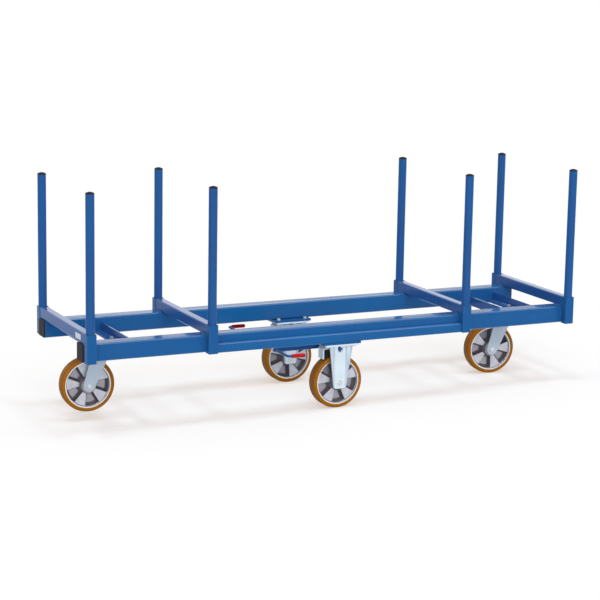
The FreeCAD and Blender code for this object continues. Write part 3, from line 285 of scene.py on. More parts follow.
class SharedEffects:
    """Shader node groups that more than one finish uses, built once each."""

    SURFACE = {"Color": Kind.COLOUR, "Roughness": Kind.VALUE, "Height": Kind.VALUE}
    DRIFT = NoiseBand(2.6, 4.0, (0.35, 0.68))
    SPECKS = NoiseBand(55.0, 5.0, (0.38, 0.7))
    GLOSS = NoiseBand(9.0, 3.0, (0.3, 0.7), (0.19, 0.29))
    SCUFFS = NoiseBand(45.0, 6.0, (0.46, 0.74))
    FINE_DETAIL = 2.0
    GRAIN_DETAIL = 3.0
    CLOUD_DETAIL = 4.0
    UPWARD = (0.55, 1.0)
    LINE_BAND = (0.36, 0.62)
    ROUNDED = (0.88, 0.985)
    CLOUD_BAND = (0.3, 0.72)
    GRAIN_BAND = (0.2, 0.8)
    GRAIN_SHARE = (0.55, 1.0)
    GRAIN_GLOSS = (0.25, 0.75)
    SKIN_GLOSS = (0.3, 0.7)
    STEEP = (0.35, 0.85)
    ROUND_WALL = (0.3, 0.9)
    WALL_SHARE = (1.0, 0.7)
    LEAST_RADIUS = 0.001

    def __init__(self) -> None:
        """Build every group."""
        self.enamel = self._enamel()
        self.grain = self._grain()
        self.skin = self._skin()
        self.wheel = self._wheel()

    def _enamel(self) -> EffectGroup:
        """Sprayed enamel: drift of tone, orange peel, dust and a painted highlight on upward faces, drawn
        lines, rounded edges.

        Returns:
            The group.
        """
        group = EffectGroup(
            "Sprayed enamel",
            {"Paint": (Kind.COLOUR, (0.02, 0.12, 0.35)),
             "Thin Paint": (Kind.COLOUR, (0.03, 0.10, 0.30)),
             "Dust": (Kind.COLOUR, (0.3, 0.33, 0.37)),
             "Dust Amount": (Kind.VALUE, 0.05),
             "Peel Scale": (Kind.VALUE, 260.0),
             "Line Stretch": (Kind.VECTOR, (1.0, 1.0, 1.0)),
             "Line Depth": (Kind.VALUE, 0.5),
             "Haze": (Kind.COLOUR, (0.2, 0.4, 0.78)),
             "Haze Amount": (Kind.VALUE, 0.0)},
            {**self.SURFACE, "Lines": Kind.VALUE, "Edges": Kind.VALUE})
        given = group.given
        spot = group.coordinates()
        where = spot["Object"]
        shade = group.mix(group.banded(where, self.DRIFT), given["Paint"], given["Thin Paint"])
        normal = group.split(group.add("ShaderNodeNewGeometry").outputs["Normal"])
        dust_and_highlight = group.span(normal["Z"], self.UPWARD)
        dusty = group.math("MULTIPLY", dust_and_highlight, group.banded(where, self.SPECKS))
        dusty = group.math("MULTIPLY", dusty, given["Dust Amount"])
        dusted = group.mix(dusty, shade, given["Dust"])
        # Painted highlight: upward faces are mixed towards the pale highlight colour, by the amount given.
        highlit = group.math("MULTIPLY", dust_and_highlight, given["Haze Amount"])
        drawn = group.noise(group.vector("MULTIPLY", where, given["Line Stretch"]), 1.0, self.FINE_DETAIL)
        dull = group.math("SUBTRACT", 1.0, given["Line Depth"])
        turn = group.split(spot["Normal"])
        across, along, up = (group.math("ABSOLUTE", turn[name]) for name in "XYZ")
        square = group.math("MAXIMUM", group.math("MAXIMUM", across, along), up)
        group.give(Color=group.mix(highlit, dusted, given["Haze"]),
                   Roughness=group.math("ADD", group.banded(where, self.GLOSS), dusty),
                   Height=group.noise(where, given["Peel Scale"], self.FINE_DETAIL),
                   Lines=group.span(drawn, self.LINE_BAND, (dull, 1.0)),
                   Edges=group.span(square, self.ROUNDED, (1.0, 0.0)))
        return group

    def _grain(self) -> EffectGroup:
        """Bare or plated metal: cloudy tone, stretched grain and a roughness that follows it.

        Returns:
            The group.
        """
        group = EffectGroup(
            "Metal grain",
            {"Tone": (Kind.COLOUR, (0.7, 0.72, 0.74)),
             "Stain": (Kind.COLOUR, (0.5, 0.52, 0.55)),
             "Cloud Scale": (Kind.VALUE, 30.0),
             "Grain Scale": (Kind.VALUE, 300.0),
             "Grain Stretch": (Kind.VECTOR, (1.0, 1.0, 1.0)),
             "Rough Low": (Kind.VALUE, 0.25),
             "Rough High": (Kind.VALUE, 0.45)},
            self.SURFACE)
        given = group.given
        where = group.coordinates()["Object"]
        cloud = group.noise(where, given["Cloud Scale"], self.CLOUD_DETAIL)
        stretched = group.vector("MULTIPLY", where, given["Grain Stretch"])
        grain = group.noise(stretched, given["Grain Scale"], self.GRAIN_DETAIL)
        blend = group.math("MULTIPLY", group.span(cloud, self.CLOUD_BAND),
                           group.span(grain, self.GRAIN_BAND, self.GRAIN_SHARE))
        rough = (given["Rough Low"], given["Rough High"])
        group.give(Color=group.mix(blend, given["Tone"], given["Stain"]),
                   Roughness=group.span(grain, self.GRAIN_GLOSS, rough),
                   Height=grain)
        return group

    def _skin(self) -> EffectGroup:
        """Moulded plastic or rubber: fine spark grain with paler scuffs.

        Returns:
            The group.
        """
        group = EffectGroup(
            "Moulded skin",
            {"Tone": (Kind.COLOUR, (0.03, 0.03, 0.03)),
             "Scuff": (Kind.COLOUR, (0.08, 0.08, 0.08)),
             "Scuff Amount": (Kind.VALUE, 0.5),
             "Grain Scale": (Kind.VALUE, 700.0),
             "Rough Low": (Kind.VALUE, 0.4),
             "Rough High": (Kind.VALUE, 0.6)},
            self.SURFACE)
        given = group.given
        where = group.coordinates()["Object"]
        worn = group.math("MULTIPLY", group.banded(where, self.SCUFFS), given["Scuff Amount"])
        grain = group.noise(where, given["Grain Scale"], self.FINE_DETAIL)
        rough = (given["Rough Low"], given["Rough High"])
        group.give(Color=group.mix(worn, given["Tone"], given["Scuff"]),
                   Roughness=group.span(grain, self.SKIN_GLOSS, rough),
                   Height=grain)
        return group

    def _wheel(self) -> EffectGroup:
        """Distance from a wheel's axle, turned rings, side walls and height of a face.

        Returns:
            The group.
        """
        group = EffectGroup(
            "Wheel coordinates",
            {"Centre": (Kind.VECTOR, (0.0, 0.0, 0.0)),
             "Axis": (Kind.VECTOR, (0.0, 1.0, 0.0)),
             "Ring Pitch": (Kind.VALUE, 0.0016)},
            {"Radius": Kind.VALUE, "Rings": Kind.VALUE, "Wall": Kind.VALUE, "Depth": Kind.VALUE})
        spot = group.coordinates()
        axis = group.given["Axis"]
        facing = group.measure("DOT_PRODUCT", spot["Normal"], axis)
        wall = group.span(group.math("ABSOLUTE", facing), self.STEEP, (1.0, 0.0))
        offset = group.vector("SUBTRACT", spot["Object"], group.given["Centre"])
        along = group.measure("DOT_PRODUCT", offset, axis)
        reach = group.measure("LENGTH", offset)
        square = group.math("SUBTRACT", group.math("MULTIPLY", reach, reach),
                            group.math("MULTIPLY", along, along))
        radius = group.math("SQRT", group.math("MAXIMUM", square, 0.0))
        level = group.math("MULTIPLY", facing, along)
        outward = group.math("SUBTRACT", group.measure("DOT_PRODUCT", spot["Normal"], offset), level)
        shell = group.math("DIVIDE", group.math("ABSOLUTE", outward),
                           group.math("MAXIMUM", radius, self.LEAST_RADIUS))
        turns = group.math("DIVIDE", group.math("ADD", radius, along), group.given["Ring Pitch"])
        group.give(Radius=radius,
                   Rings=group.math("SINE", group.math("MULTIPLY", turns, 2.0 * math.pi)),
                   Wall=group.math("MULTIPLY", wall, group.span(shell, self.ROUND_WALL, self.WALL_SHARE)),
                   Depth=level)
        return group


class Surface(NodeDesk):
    """One material with its own shader."""

    def __init__(self, name: str) -> None:
        """Start an empty material.

        Args:
            name: material's name.
        """
        self.material = bpy.data.materials.new(name)
        self.material.use_nodes = True
        super().__init__(self.material.node_tree)
        self.shader = self.add("ShaderNodeBsdfPrincipled")
        self.add("ShaderNodeOutputMaterial", Surface=self.shader.outputs["BSDF"])

    def feed(self, name: str, value: object) -> None:
        """Link or set one input of the shader."""
        self.put(value, self.shader.inputs[name])

    def place(self, effect: EffectGroup, **values: object) -> bpy.types.bpy_prop_collection:
        """Put a shared effect into this material.

        Args:
            effect: shared node group.
            values: its input values, with spaces in a name written as underscores.

        Returns:
            The outputs of the group's node.
        """
        node = self.add("ShaderNodeGroup")
        node.node_tree = effect.tree
        self.fill(node, values)
        return node.outputs

    def drive(self, effect: bpy.types.bpy_prop_collection, height: float, strength: float) -> None:
        """Let an effect give colour, roughness and bump.

        Args:
            effect: outputs with Color, Roughness and Height.
            height: bump distance in metres.
            strength: bump strength.
        """
        self.feed("Base Color", effect["Color"])
        self.feed("Roughness", effect["Roughness"])
        self.bump(effect["Height"], height, strength)

    def bump(self, value: Socket, height: float, strength: float) -> None:
        """Drive the shader's normal from a height value.

        Args:
            value: height from 0 to 1.
            height: bump distance in metres.
            strength: bump strength.
        """
        node = self.add("ShaderNodeBump", Height=value, Distance=height, Strength=strength)
        self.feed("Normal", node.outputs["Normal"])


@dataclass(frozen=True)
class EnamelFinish:
    """Gloss enamel sprayed on steel."""

    name: str
    paint: Colour
    thin_paint: Colour
    dust_amount: float = 0.05
    line_stretch: Point = (0.9, 75.0, 75.0)
    line_depth: float = 0.7
    coat_band: Range = (0.68, 0.815)
    coat_least: float = 0.08
    coat_rough: float = 0.05
    coat_ior: float = 1.5
    edge_gloss: float = 0.7
    base_gloss: float = 0.06
    # Painted highlight on upward faces: its colour and its amount, none by default.
    painted_highlight: Colour = (0.20, 0.40, 0.78)
    painted_highlight_amount: float = 0.0
    peel_height: float = 0.00012
    peel_strength: float = 0.12

    def material(self, effects: SharedEffects) -> Material:
        """Make the material.

        Args:
            effects: shared node groups.

        Returns:
            The enamel.
        """
        surface = Surface(self.name)
        paint = surface.place(effects.enamel, Paint=self.paint, Thin_Paint=self.thin_paint,
                              Dust_Amount=self.dust_amount, Line_Stretch=self.line_stretch,
                              Line_Depth=self.line_depth, Haze=self.painted_highlight, Haze_Amount=self.painted_highlight_amount)
        surface.drive(paint, self.peel_height, self.peel_strength)
        low_angle = surface.add("ShaderNodeLayerWeight").outputs["Facing"]
        gloss = surface.span(low_angle, self.coat_band, (self.coat_least, 1.0))
        flats = surface.math("MULTIPLY", gloss, paint["Lines"])
        edges = surface.math("MULTIPLY", paint["Edges"], self.edge_gloss)
        surface.feed("Coat Weight", surface.math("MAXIMUM", flats, edges))
        surface.feed("Coat Roughness", self.coat_rough)
        surface.feed("Coat IOR", self.coat_ior)
        surface.feed("Specular IOR Level", self.base_gloss)
        return surface.material


@dataclass(frozen=True)
class MetalFinish:
    """Plated, ground or cast metal without paint."""

    name: str
    tone: Colour
    stain: Colour
    metallic: float
    rough: Range
    cloud_scale: float
    grain_scale: float = 300.0
    bump_height: float = 0.0002
    bump: float = 0.1

    def material(self, effects: SharedEffects) -> Material:
        """Make the material.

        Args:
            effects: shared node groups.

        Returns:
            The metal.
        """
        surface = Surface(self.name)
        grain = surface.place(effects.grain, Tone=self.tone, Stain=self.stain, Cloud_Scale=self.cloud_scale,
                              Grain_Scale=self.grain_scale, **rough_ends(self.rough))
        surface.drive(grain, self.bump_height, self.bump)
        surface.feed("Metallic", self.metallic)
        return surface.material


@dataclass(frozen=True)
class PressedZincFinish:
    """Blue-passivated zinc on pressed sheet: pale panels, with painted shade in a darker blue on faces that
    lean sideways, in upright bands.
    """

    name: str = "zinc_plate"
    tone: Colour = (0.80, 0.88, 0.93)
    stain: Colour = (0.68, 0.77, 0.83)
    # Painted shade for the faces that lean sideways, and the noise that breaks it into upright bands.
    flange_shade: Colour = (0.34, 0.47, 0.60)
    lean: Range = (0.16, 0.27)
    shade_streak_scale: Point = (150.0, 150.0, 6.0)
    shade_streaks: NoiseBand = NoiseBand(1.0, 2.0, (0.35, 0.65), (0.15, 0.85))
    cloud_scale: float = 14.0
    grain_scale: float = 90.0
    grain_stretch: Point = (1.0, 1.0, 0.2)
    rough: Range = (0.26, 0.36)
    bump_height: float = 0.0002
    bump: float = 0.02
    metallic: float = 0.25

    def material(self, effects: SharedEffects) -> Material:
        """Make the material.

        Args:
            effects: shared node groups.

        Returns:
            The plated sheet.
        """
        surface = Surface(self.name)
        grain = surface.place(effects.grain, Tone=self.tone, Stain=self.stain, Cloud_Scale=self.cloud_scale,
                              Grain_Scale=self.grain_scale, Grain_Stretch=self.grain_stretch,
                              **rough_ends(self.rough))
        surface.drive(grain, self.bump_height, self.bump)
        spot = surface.coordinates()
        # Painted shade: faces leaning sideways are mixed towards the darker blue in upright bands.
        sideways = surface.math("ABSOLUTE", surface.split(spot["Normal"])["X"])
        drawn = surface.span(sideways, self.lean)
        stretched = surface.vector("MULTIPLY", spot["Object"], self.shade_streak_scale)
        painted_shade_mask = surface.math("MULTIPLY", drawn, surface.banded(stretched, self.shade_streaks))
        surface.feed("Base Color", surface.mix(painted_shade_mask, grain["Color"], self.flange_shade))
        surface.feed("Metallic", self.metallic)
        return surface.material


@dataclass(frozen=True)
class MouldedFinish:
    """Moulded plastic or rubber."""

    name: str
    tone: Colour
    scuff: Colour
    rough: Range
    scuff_amount: float = 0.5
    grain_scale: float = 700.0
    bump_height: float = 0.0002
    bump: float = 0.15
    gloss: float = 0.1

    def material(self, effects: SharedEffects) -> Material:
        """Make the material.

        Args:
            effects: shared node groups.

        Returns:
            The moulded material.
        """
        surface = Surface(self.name)
        skin = surface.place(effects.skin, Tone=self.tone, Scuff=self.scuff, Scuff_Amount=self.scuff_amount,
                             Grain_Scale=self.grain_scale, **rough_ends(self.rough))
        surface.drive(skin, self.bump_height, self.bump)
        surface.feed("Specular IOR Level", self.gloss)
        return surface.material


@dataclass(frozen=True)
class WheelPlace:
    """Where one wheel turns."""

    side: Side
    centre: Point
    axis: Point


@dataclass(frozen=True)
class TyreFinish:
    """Cast polyurethane: clear amber sides, a browner tread with fine turned rings."""

    amber: Colour = (0.405, 0.138, 0.003)
    deep: Colour = (0.33, 0.106, 0.003)
    deep_amount: float = 0.8
    tread: Colour = (0.30, 0.105, 0.006)
    tread_band: Range = (0.1175, 0.1235)
    tread_rough: float = 0.12
    grain_scale: float = 400.0
    rough: Range = (0.28, 0.4)
    ring_depth: float = 0.5
    bump_height: float = 0.0002
    bump: float = 0.25
    gloss: float = 0.1

    def material(self, effects: SharedEffects, wheel: WheelPlace) -> Material:
        """Make one wheel's tyre material.

        Args:
            effects: shared node groups.
            wheel: wheel that it belongs to.

        Returns:
            The tyre material.
        """
        surface = Surface(f"cast_tyre_{wheel.side.value}")
        spot = surface.place(effects.wheel, Centre=wheel.centre, Axis=wheel.axis)
        skin = surface.place(effects.skin, Tone=self.amber, Scuff=self.deep, Scuff_Amount=self.deep_amount,
                             Grain_Scale=self.grain_scale, **rough_ends(self.rough))
        on_tread = surface.span(spot["Radius"], self.tread_band)
        surface.feed("Base Color", surface.mix(on_tread, skin["Color"], self.tread))
        duller = surface.math("MULTIPLY", on_tread, self.tread_rough)
        surface.feed("Roughness", surface.math("ADD", skin["Roughness"], duller))
        ring = surface.math("MULTIPLY", surface.math("MULTIPLY", spot["Rings"], on_tread), self.ring_depth)
        surface.bump(surface.math("ADD", skin["Height"], ring), self.bump_height, self.bump)
        surface.feed("Specular IOR Level", self.gloss)
        return surface.material


@dataclass(frozen=True)
class CastWheelFinish:
    """Die-cast wheel centre with a machined outer lip, painted shade on the pocket walls and in the
    recesses, and a duller hub.
    """

    tone: Colour = (0.61, 0.62, 0.67)
    stain: Colour = (0.45, 0.45, 0.50)
    cloud_scale: float = 40.0
    grain_scale: float = 420.0
    rough: Range = (0.38, 0.55)
    machined: Colour = (0.84, 0.85, 0.88)
    lip_radius: float = 0.1015
    lip_shine: float = 0.16
    ring_pitch: float = 0.0012
    ring_depth: float = 0.04
    # Painted shade on the cast walls of the pockets.
    shade: Colour = (0.140, 0.115, 0.126)
    shade_amount: float = 0.9
    hub: Colour = (0.30, 0.28, 0.27)
    hub_radius: float = 0.0345
    hub_amount: float = 0.85
    # Darker tones of the recesses: the groove's is painted shade, the pocket floors' is their as-cast tone
    # with painted shade.
    groove: Colour = (0.16, 0.14, 0.165)
    groove_level: Range = (0.0155, 0.018)
    pocket: Colour = (0.36, 0.33, 0.37)
    pocket_level: Range = (0.0, 0.012)
    pocket_scale: float = 35.0
    pocket_detail: float = 3.0
    bump_height: float = 0.0003
    bump: float = 0.25
    metallic: float = 0.55

    def material(self, effects: SharedEffects, wheel: WheelPlace) -> Material:
        """Make one wheel centre's material.

        Args:
            effects: shared node groups.
            wheel: wheel that it belongs to.

        Returns:
            The cast metal.
        """
        surface = Surface(f"cast_wheel_{wheel.side.value}")
        spot = surface.place(effects.wheel, Centre=wheel.centre, Axis=wheel.axis,
                             Ring_Pitch=self.ring_pitch)
        grain = surface.place(effects.grain, Tone=self.tone, Stain=self.stain, Cloud_Scale=self.cloud_scale,
                              Grain_Scale=self.grain_scale, **rough_ends(self.rough))
        turned = surface.math("GREATER_THAN", spot["Radius"], self.lip_radius)
        as_cast = surface.math("SUBTRACT", 1.0, turned)
        at_hub = surface.math("LESS_THAN", spot["Radius"], self.hub_radius)
        cast_wall = surface.math("MULTIPLY", spot["Wall"], as_cast)
        cloud = surface.noise(surface.coordinates()["Object"], self.pocket_scale, self.pocket_detail)
        sunk = surface.mix(cloud, self.pocket, self.stain)
        # Painted shade: the groove, pocket and wall layers darken the recesses and walls; the lip and hub
        # layers are the metal's own tone.
        layers = (
            (surface.span(spot["Depth"], self.groove_level, (1.0, 0.0)), self.groove),
            (surface.span(spot["Depth"], self.pocket_level, (1.0, 0.0)), sunk),
            (turned, self.machined),
            (surface.math("MULTIPLY", cast_wall, self.shade_amount), self.shade),
            (surface.math("MULTIPLY", at_hub, self.hub_amount), self.hub),
        )
        colour = grain["Color"]
        for mask, over in layers:
            colour = surface.mix(mask, colour, over)
        surface.feed("Base Color", colour)
        shine = surface.math("MULTIPLY", turned, self.lip_shine)
        surface.feed("Roughness", surface.math("SUBTRACT", grain["Roughness"], shine))
        cast = surface.math("MULTIPLY", grain["Height"], as_cast)
        rings = surface.math("MULTIPLY", surface.math("MULTIPLY", spot["Rings"], turned), self.ring_depth)
        surface.bump(surface.math("ADD", cast, rings), self.bump_height, self.bump)
        surface.feed("Metallic", self.metallic)
        return surface.material


class CartFinishes:
    """Materials of the cart, each made once."""

    def __init__(self, effects: SharedEffects) -> None:
        """Make every material but the wheels', which know their own places.

        Args:
            effects: shared node groups.
        """
        self.enamel = EnamelFinish("frame_enamel", (0.011, 0.124, 0.346), (0.017, 0.107, 0.312),
                                   edge_gloss=0.45).material(effects)
        self.rail_enamel = EnamelFinish("rail_enamel", (0.011, 0.124, 0.346), (0.017, 0.107, 0.312),
                                        line_stretch=(0.9, 32.0, 32.0), line_depth=0.8, edge_gloss=1.0,
                                        coat_ior=1.75).material(effects)
        # The stiffening tubes take a paler copy of the blue and a painted highlight on their upward faces,
        # standing in for the light they catch.
        self.tube_enamel = EnamelFinish("tube_enamel", (0.013, 0.134, 0.366), (0.018, 0.117, 0.330),
                                        coat_band=(0.86, 1.0), edge_gloss=1.0, coat_ior=1.7,
                                        painted_highlight_amount=0.36).material(effects)
        # The cross-beams and carriers take a more violet copy of the blue: a painted tint of the violet
        # shade they sit in.
        self.cross_enamel = EnamelFinish("cross_enamel", (0.025, 0.120, 0.375), (0.030, 0.105, 0.338),
                                         line_stretch=(75.0, 0.9, 75.0), line_depth=0.12,
                                         coat_ior=1.75).material(effects)
        self.stake_enamel = EnamelFinish("stake_enamel", (0.018, 0.113, 0.338), (0.024, 0.098, 0.302),
                                         dust_amount=0.02, line_stretch=(75.0, 75.0, 0.9),
                                         edge_gloss=0.0).material(effects)
        self.zinc = PressedZincFinish().material(effects)
        # The swivel forks take a darker copy of the plated sheet: painted shade from the frame's ends above
        # them.
        self.shaded_zinc = PressedZincFinish("shaded_zinc_plate", (0.54, 0.61, 0.69),
                                           (0.43, 0.50, 0.59)).material(effects)
        self.bolt_zinc = MetalFinish("bolt_zinc", (0.74, 0.77, 0.78), (0.50, 0.53, 0.55), metallic=0.7,
                                     rough=(0.22, 0.34), cloud_scale=60.0, grain_scale=150.0,
                                     bump=0.02).material(effects)
        self.steel = MetalFinish("bearing_steel", (0.34, 0.31, 0.29), (0.22, 0.19, 0.17), metallic=0.55,
                                 rough=(0.3, 0.45), cloud_scale=120.0).material(effects)
        self.bronze = MetalFinish("bush_bronze", (0.46, 0.31, 0.13), (0.33, 0.21, 0.09), metallic=0.9,
                                  rough=(0.35, 0.5), cloud_scale=90.0).material(effects)
        self.plastic = MouldedFinish("black_moulding", (0.025, 0.020, 0.020), (0.035, 0.030, 0.029),
                                     rough=(0.38, 0.55), gloss=0.04).material(effects)
        self.grip = MouldedFinish("red_moulding", (0.60, 0.010, 0.018), (0.47, 0.012, 0.02),
                                  rough=(0.22, 0.34), scuff_amount=0.4).material(effects)
        self.rubber = MouldedFinish("brake_rubber", (0.018, 0.016, 0.016), (0.05, 0.045, 0.042),
                                    rough=(0.55, 0.75), grain_scale=350.0, bump=0.3).material(effects)
        self.nylon = MouldedFinish("grey_nylon", (0.30, 0.33, 0.38), (0.22, 0.25, 0.30),
                                   rough=(0.3, 0.45)).material(effects)
        self.card = MouldedFinish("white_plate", (0.86, 0.87, 0.88), (0.76, 0.77, 0.79),
                                  rough=(0.3, 0.42), scuff_amount=0.35).material(effects)


def dress(frame: dict, nodes: list[str], material: Material) -> None:
    """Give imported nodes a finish.

    Args:
        nodes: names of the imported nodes.
        material: their finish.
    """
    for name in nodes:
        mesh = frame["nodes"][name].data
        mesh.materials.clear()
        mesh.materials.append(material)
        LOG.info("node %s dressed in %s", name, material.name)


def bridge(shape: bmesh.types.BMesh, ring: list[bmesh.types.BMVert],
           following: list[bmesh.types.BMVert]) -> None:
    """Join two closed rings of points by a band of faces.

    Args:
        shape: mesh under construction.
        ring: points of the first ring.
        following: as many points of the next one.
    """
    for index in range(len(ring)):
        after = (index + 1) % len(ring)
        shape.faces.new((ring[index], ring[after], following[after], following[index]))


def add_piece(name: str, shape: bmesh.types.BMesh, material: Material, smooth: bool) -> None:
    """Turn a finished shape into a piece that rides on the frame.

    Args:
        name: piece's name.
        shape: its shape, in place.
        material: its finish.
        smooth: whether its faces are shaded as one round surface.
    """
    bmesh.ops.recalc_face_normals(shape, faces=shape.faces)
    mesh = bpy.data.meshes.new(name)
    shape.to_mesh(mesh)
    shape.free()
    if smooth:
        mesh.shade_smooth()
    mesh.materials.append(material)
    piece = bpy.data.objects.new(name, mesh)
    bpy.context.scene.collection.objects.link(piece)
    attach(piece, "frame")
    LOG.info("piece %s on the frame: %d faces", name, len(mesh.polygons))


class Bead:
    """One straight weld in the corner between two faces."""

    def __init__(self, start: Point, end: Point, first_face: Point, second_face: Point) -> None:
        """Place a weld.

        Args:
            start: one end of the corner.
            end: its other end.
            first_face: direction away from the first face.
            second_face: direction away from the second face.
        """
        self.start = Vector(start)
        self.run = Vector(end) - self.start
        self.first_face = Vector(first_face)
        self.second_face = Vector(second_face)


@dataclass
class WeldSeams:
    """Weld seams of the frame: rippled fillets in the corners between its tubes."""

    leg: float = 0.0036
    ripple: float = 0.0045
    swell: float = 0.12
    taper_start: float = 0.35
    throat: float = 0.80
    arc_points: int = 6
    rows_per_ripple: int = 6
    inner_beam: float = 0.650
    end_beam: float = 1.2225
    beam_half: float = 0.020
    rail_top: float = 0.400
    flat_half: float = 0.030
    rail_face: float = 0.310
    pocket_half: float = 0.0225
    pocket_foot: float = 0.3325
    tube_top: float = 0.360
    tube_face: float = 0.340
    tube_foot: float = 0.325
    tube_head: float = 0.355
    carrier_face: float = 0.088
    carrier_foot: float = 0.3375
    carrier_head: float = 0.3735
    rail_inside: float = 0.230

    def beam_beads(self) -> list[Bead]:
        """Seams between the cross-beams and the rails' tops.

        Returns:
            The beads.
        """
        beads = []
        places = [(x, side) for x in (-self.inner_beam, self.inner_beam) for side in (-1, 1)]
        places += [(-self.end_beam, 1), (self.end_beam, -1)]
        for x, side in places:
            edge = x + side * self.beam_half
            for rail in (-RAIL_LINE, RAIL_LINE):
                beads.append(Bead((edge, rail - self.flat_half, self.rail_top),
                                  (edge, rail + self.flat_half, self.rail_top), (side, 0, 0), (0, 0, 1)))
        return beads

    def pocket_beads(self) -> list[Bead]:
        """Seams between the stake pockets and the rails' outer faces.

        Returns:
            The beads.
        """
        beads = []
        head = self.rail_top - 2 * self.leg
        places = [(-self.end_beam, 1, self.pocket_foot), (self.end_beam, -1, self.pocket_foot),
                  (-self.inner_beam, -1, self.pocket_foot), (self.inner_beam, 1, self.pocket_foot),
                  (-self.inner_beam, 1, self.tube_top), (self.inner_beam, -1, self.tube_top)]
        for x, side, foot in places:
            edge = x + side * self.pocket_half
            for face in (-1, 1):
                wall = face * self.rail_face
                beads.append(Bead((edge, wall, foot + self.leg), (edge, wall, head),
                                  (side, 0, 0), (0, face, 0)))
        return beads

    def stiffener_beads(self) -> list[Bead]:
        """Seams between the ends of the stiffening tubes and the inner pockets.

        Returns:
            The beads.
        """
        beads = []
        for side in (-1, 1):
            edge = side * (self.inner_beam - self.pocket_half)
            for face in (-1, 1):
                wall = face * self.tube_face
                beads.append(Bead((edge, wall, self.tube_foot), (edge, wall, self.tube_head),
                                  (-side, 0, 0), (0, face, 0)))
        return beads

    def carrier_beads(self) -> list[Bead]:
        """Seams between the castor carriers and the rails' inner faces.

        Returns:
            The beads.
        """
        beads = []
        for axis in (-SWIVEL_PLACE, SWIVEL_PLACE):
            for side in (-1, 1):
                edge = axis + side * self.carrier_face
                for face in (-1, 1):
                    wall = face * self.rail_inside
                    beads.append(Bead((edge, wall, self.carrier_foot), (edge, wall, self.carrier_head),
                                      (side, 0, 0), (0, -face, 0)))
        return beads

    def _section(self, bead: Bead, along: float) -> list[Vector]:
        """Points across a bead at one place, from one face to the other and back to the corner.

        Args:
            bead: weld.
            along: distance from its start.

        Returns:
            The points.
        """
        length = bead.run.length
        rise = 2 * self.leg
        taper = min(1.0, self.taper_start + along / rise, self.taper_start + (length - along) / rise)
        size = self.leg * taper * (1 + self.swell * math.sin(2 * math.pi * along / self.ripple))
        middle = bead.start + bead.run * (along / length)
        points = []
        for step in range(self.arc_points + 1):
            angle = 0.5 * math.pi * step / self.arc_points
            reach = size * (self.throat + (1 - self.throat) * abs(math.cos(2 * angle)))
            points.append(middle + reach * (math.cos(angle) * bead.second_face
                                            + math.sin(angle) * bead.first_face))
        points.append(middle)
        return points

    def _sweep(self, beads: list[Bead]) -> bmesh.types.BMesh:
        """Sweep every bead of a set into one shape.

        Args:
            beads: welds of the set.

        Returns:
            The shape.
        """
        shape = bmesh.new()
        for bead in beads:
            length = bead.run.length
            count = max(self.rows_per_ripple, round(self.rows_per_ripple * length / self.ripple))
            rows = []
            for step in range(count + 1):
                points = self._section(bead, length * step / count)
                rows.append([shape.verts.new(point) for point in points])
            for row, following in zip(rows, rows[1:]):
                bridge(shape, row, following)
            shape.faces.new(rows[0])
            shape.faces.new(list(reversed(rows[-1])))
        return shape

    def build(self, material: Material) -> None:
        """Make the seams and let them ride on the frame.

        Args:
            material: painted finish over the welds.
        """
        sets = {"weld_beams": self.beam_beads(), "weld_pockets": self.pocket_beads(),
                "weld_stiffeners": self.stiffener_beads(), "weld_carriers": self.carrier_beads()}
        for name, beads in sets.items():
            add_piece(name, self._sweep(beads), material, smooth=True)


@dataclass
class FrameDress:
    """Welded frame: its paint, its end plugs and the blank plate on its left end."""

    plate_size: Range = (0.070, 0.025)
    plate_corner: float = 0.003
    plate_corner_steps: int = 6
    plate_depth: float = 0.0005
    plate_layers: tuple[Range, ...] = ((0.0, 1.0), (0.7, 1.0), (1.0, 0.985))
    plate_centre: Point = (-1.2425, -0.228, 0.4235)

    def finish(self, frame: dict, looks: CartFinishes) -> None:
        """Dress the frame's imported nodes.

        Args:
            looks: materials of the cart.
        """
        dress(frame, ["stake_pockets_front", "stake_pockets_rear", "adaptor_plates"], looks.enamel)
        dress(frame, ["rail_front", "rail_rear"], looks.rail_enamel)
        dress(frame, ["side_tubes"], looks.tube_enamel)
        dress(frame, ["cross_beam_left_end", "cross_beam_left_inner", "cross_beam_right_inner",
                      "cross_beam_right_end", "castor_carriers_left", "castor_carriers_right"],
              looks.cross_enamel)
        dress(frame, ["rail_end_plugs"], looks.plastic)

    def _plate_outline(self) -> list[Range]:
        """Rounded rectangle of the plate.

        Returns:
            Points across and up from its middle.
        """
        half_y, half_z = (size / 2 - self.plate_corner for size in self.plate_size)
        outline = []
        for corner, (sign_y, sign_z) in enumerate(((1, 1), (-1, 1), (-1, -1), (1, -1))):
            for step in range(self.plate_corner_steps + 1):
                angle = 0.5 * math.pi * (corner + step / self.plate_corner_steps)
                outline.append((half_y * sign_y + self.plate_corner * math.cos(angle),
                                half_z * sign_z + self.plate_corner * math.sin(angle)))
        return outline

    def build_plate(self, material: Material) -> None:
        """Add the blank plate with rounded corners on the left end cross-beam.

        Args:
            material: plate's finish.
        """
        centre = Vector(self.plate_centre)
        outline = self._plate_outline()
        shape = bmesh.new()
        rings = []
        for depth, inset in self.plate_layers:
            out = -depth * self.plate_depth
            rings.append([shape.verts.new(centre + Vector((out, inset * y, inset * z))) for y, z in outline])
        for ring, following in zip(rings, rings[1:]):
            bridge(shape, ring, following)
        shape.faces.new(rings[0])
        shape.faces.new(rings[-1])
        add_piece("blank_plate", shape, material, smooth=False)


@dataclass
class StakeSet:
    """Eight loose stakes with their caps."""

    numbers: tuple[int, ...] = (1, 2, 3, 4)
    sides: tuple[Side, ...] = (Side.FRONT, Side.REAR)

    def finish(self, frame: dict, looks: CartFinishes) -> None:
        """Dress the stakes and caps.

        Args:
            looks: materials of the cart.
        """
        names = [f"{side.value}_{number}" for side in self.sides for number in self.numbers]
        dress(frame, [f"stake_{name}" for name in names], looks.stake_enamel)
        dress(frame, [f"stake_cap_{name}" for name in names], looks.plastic)


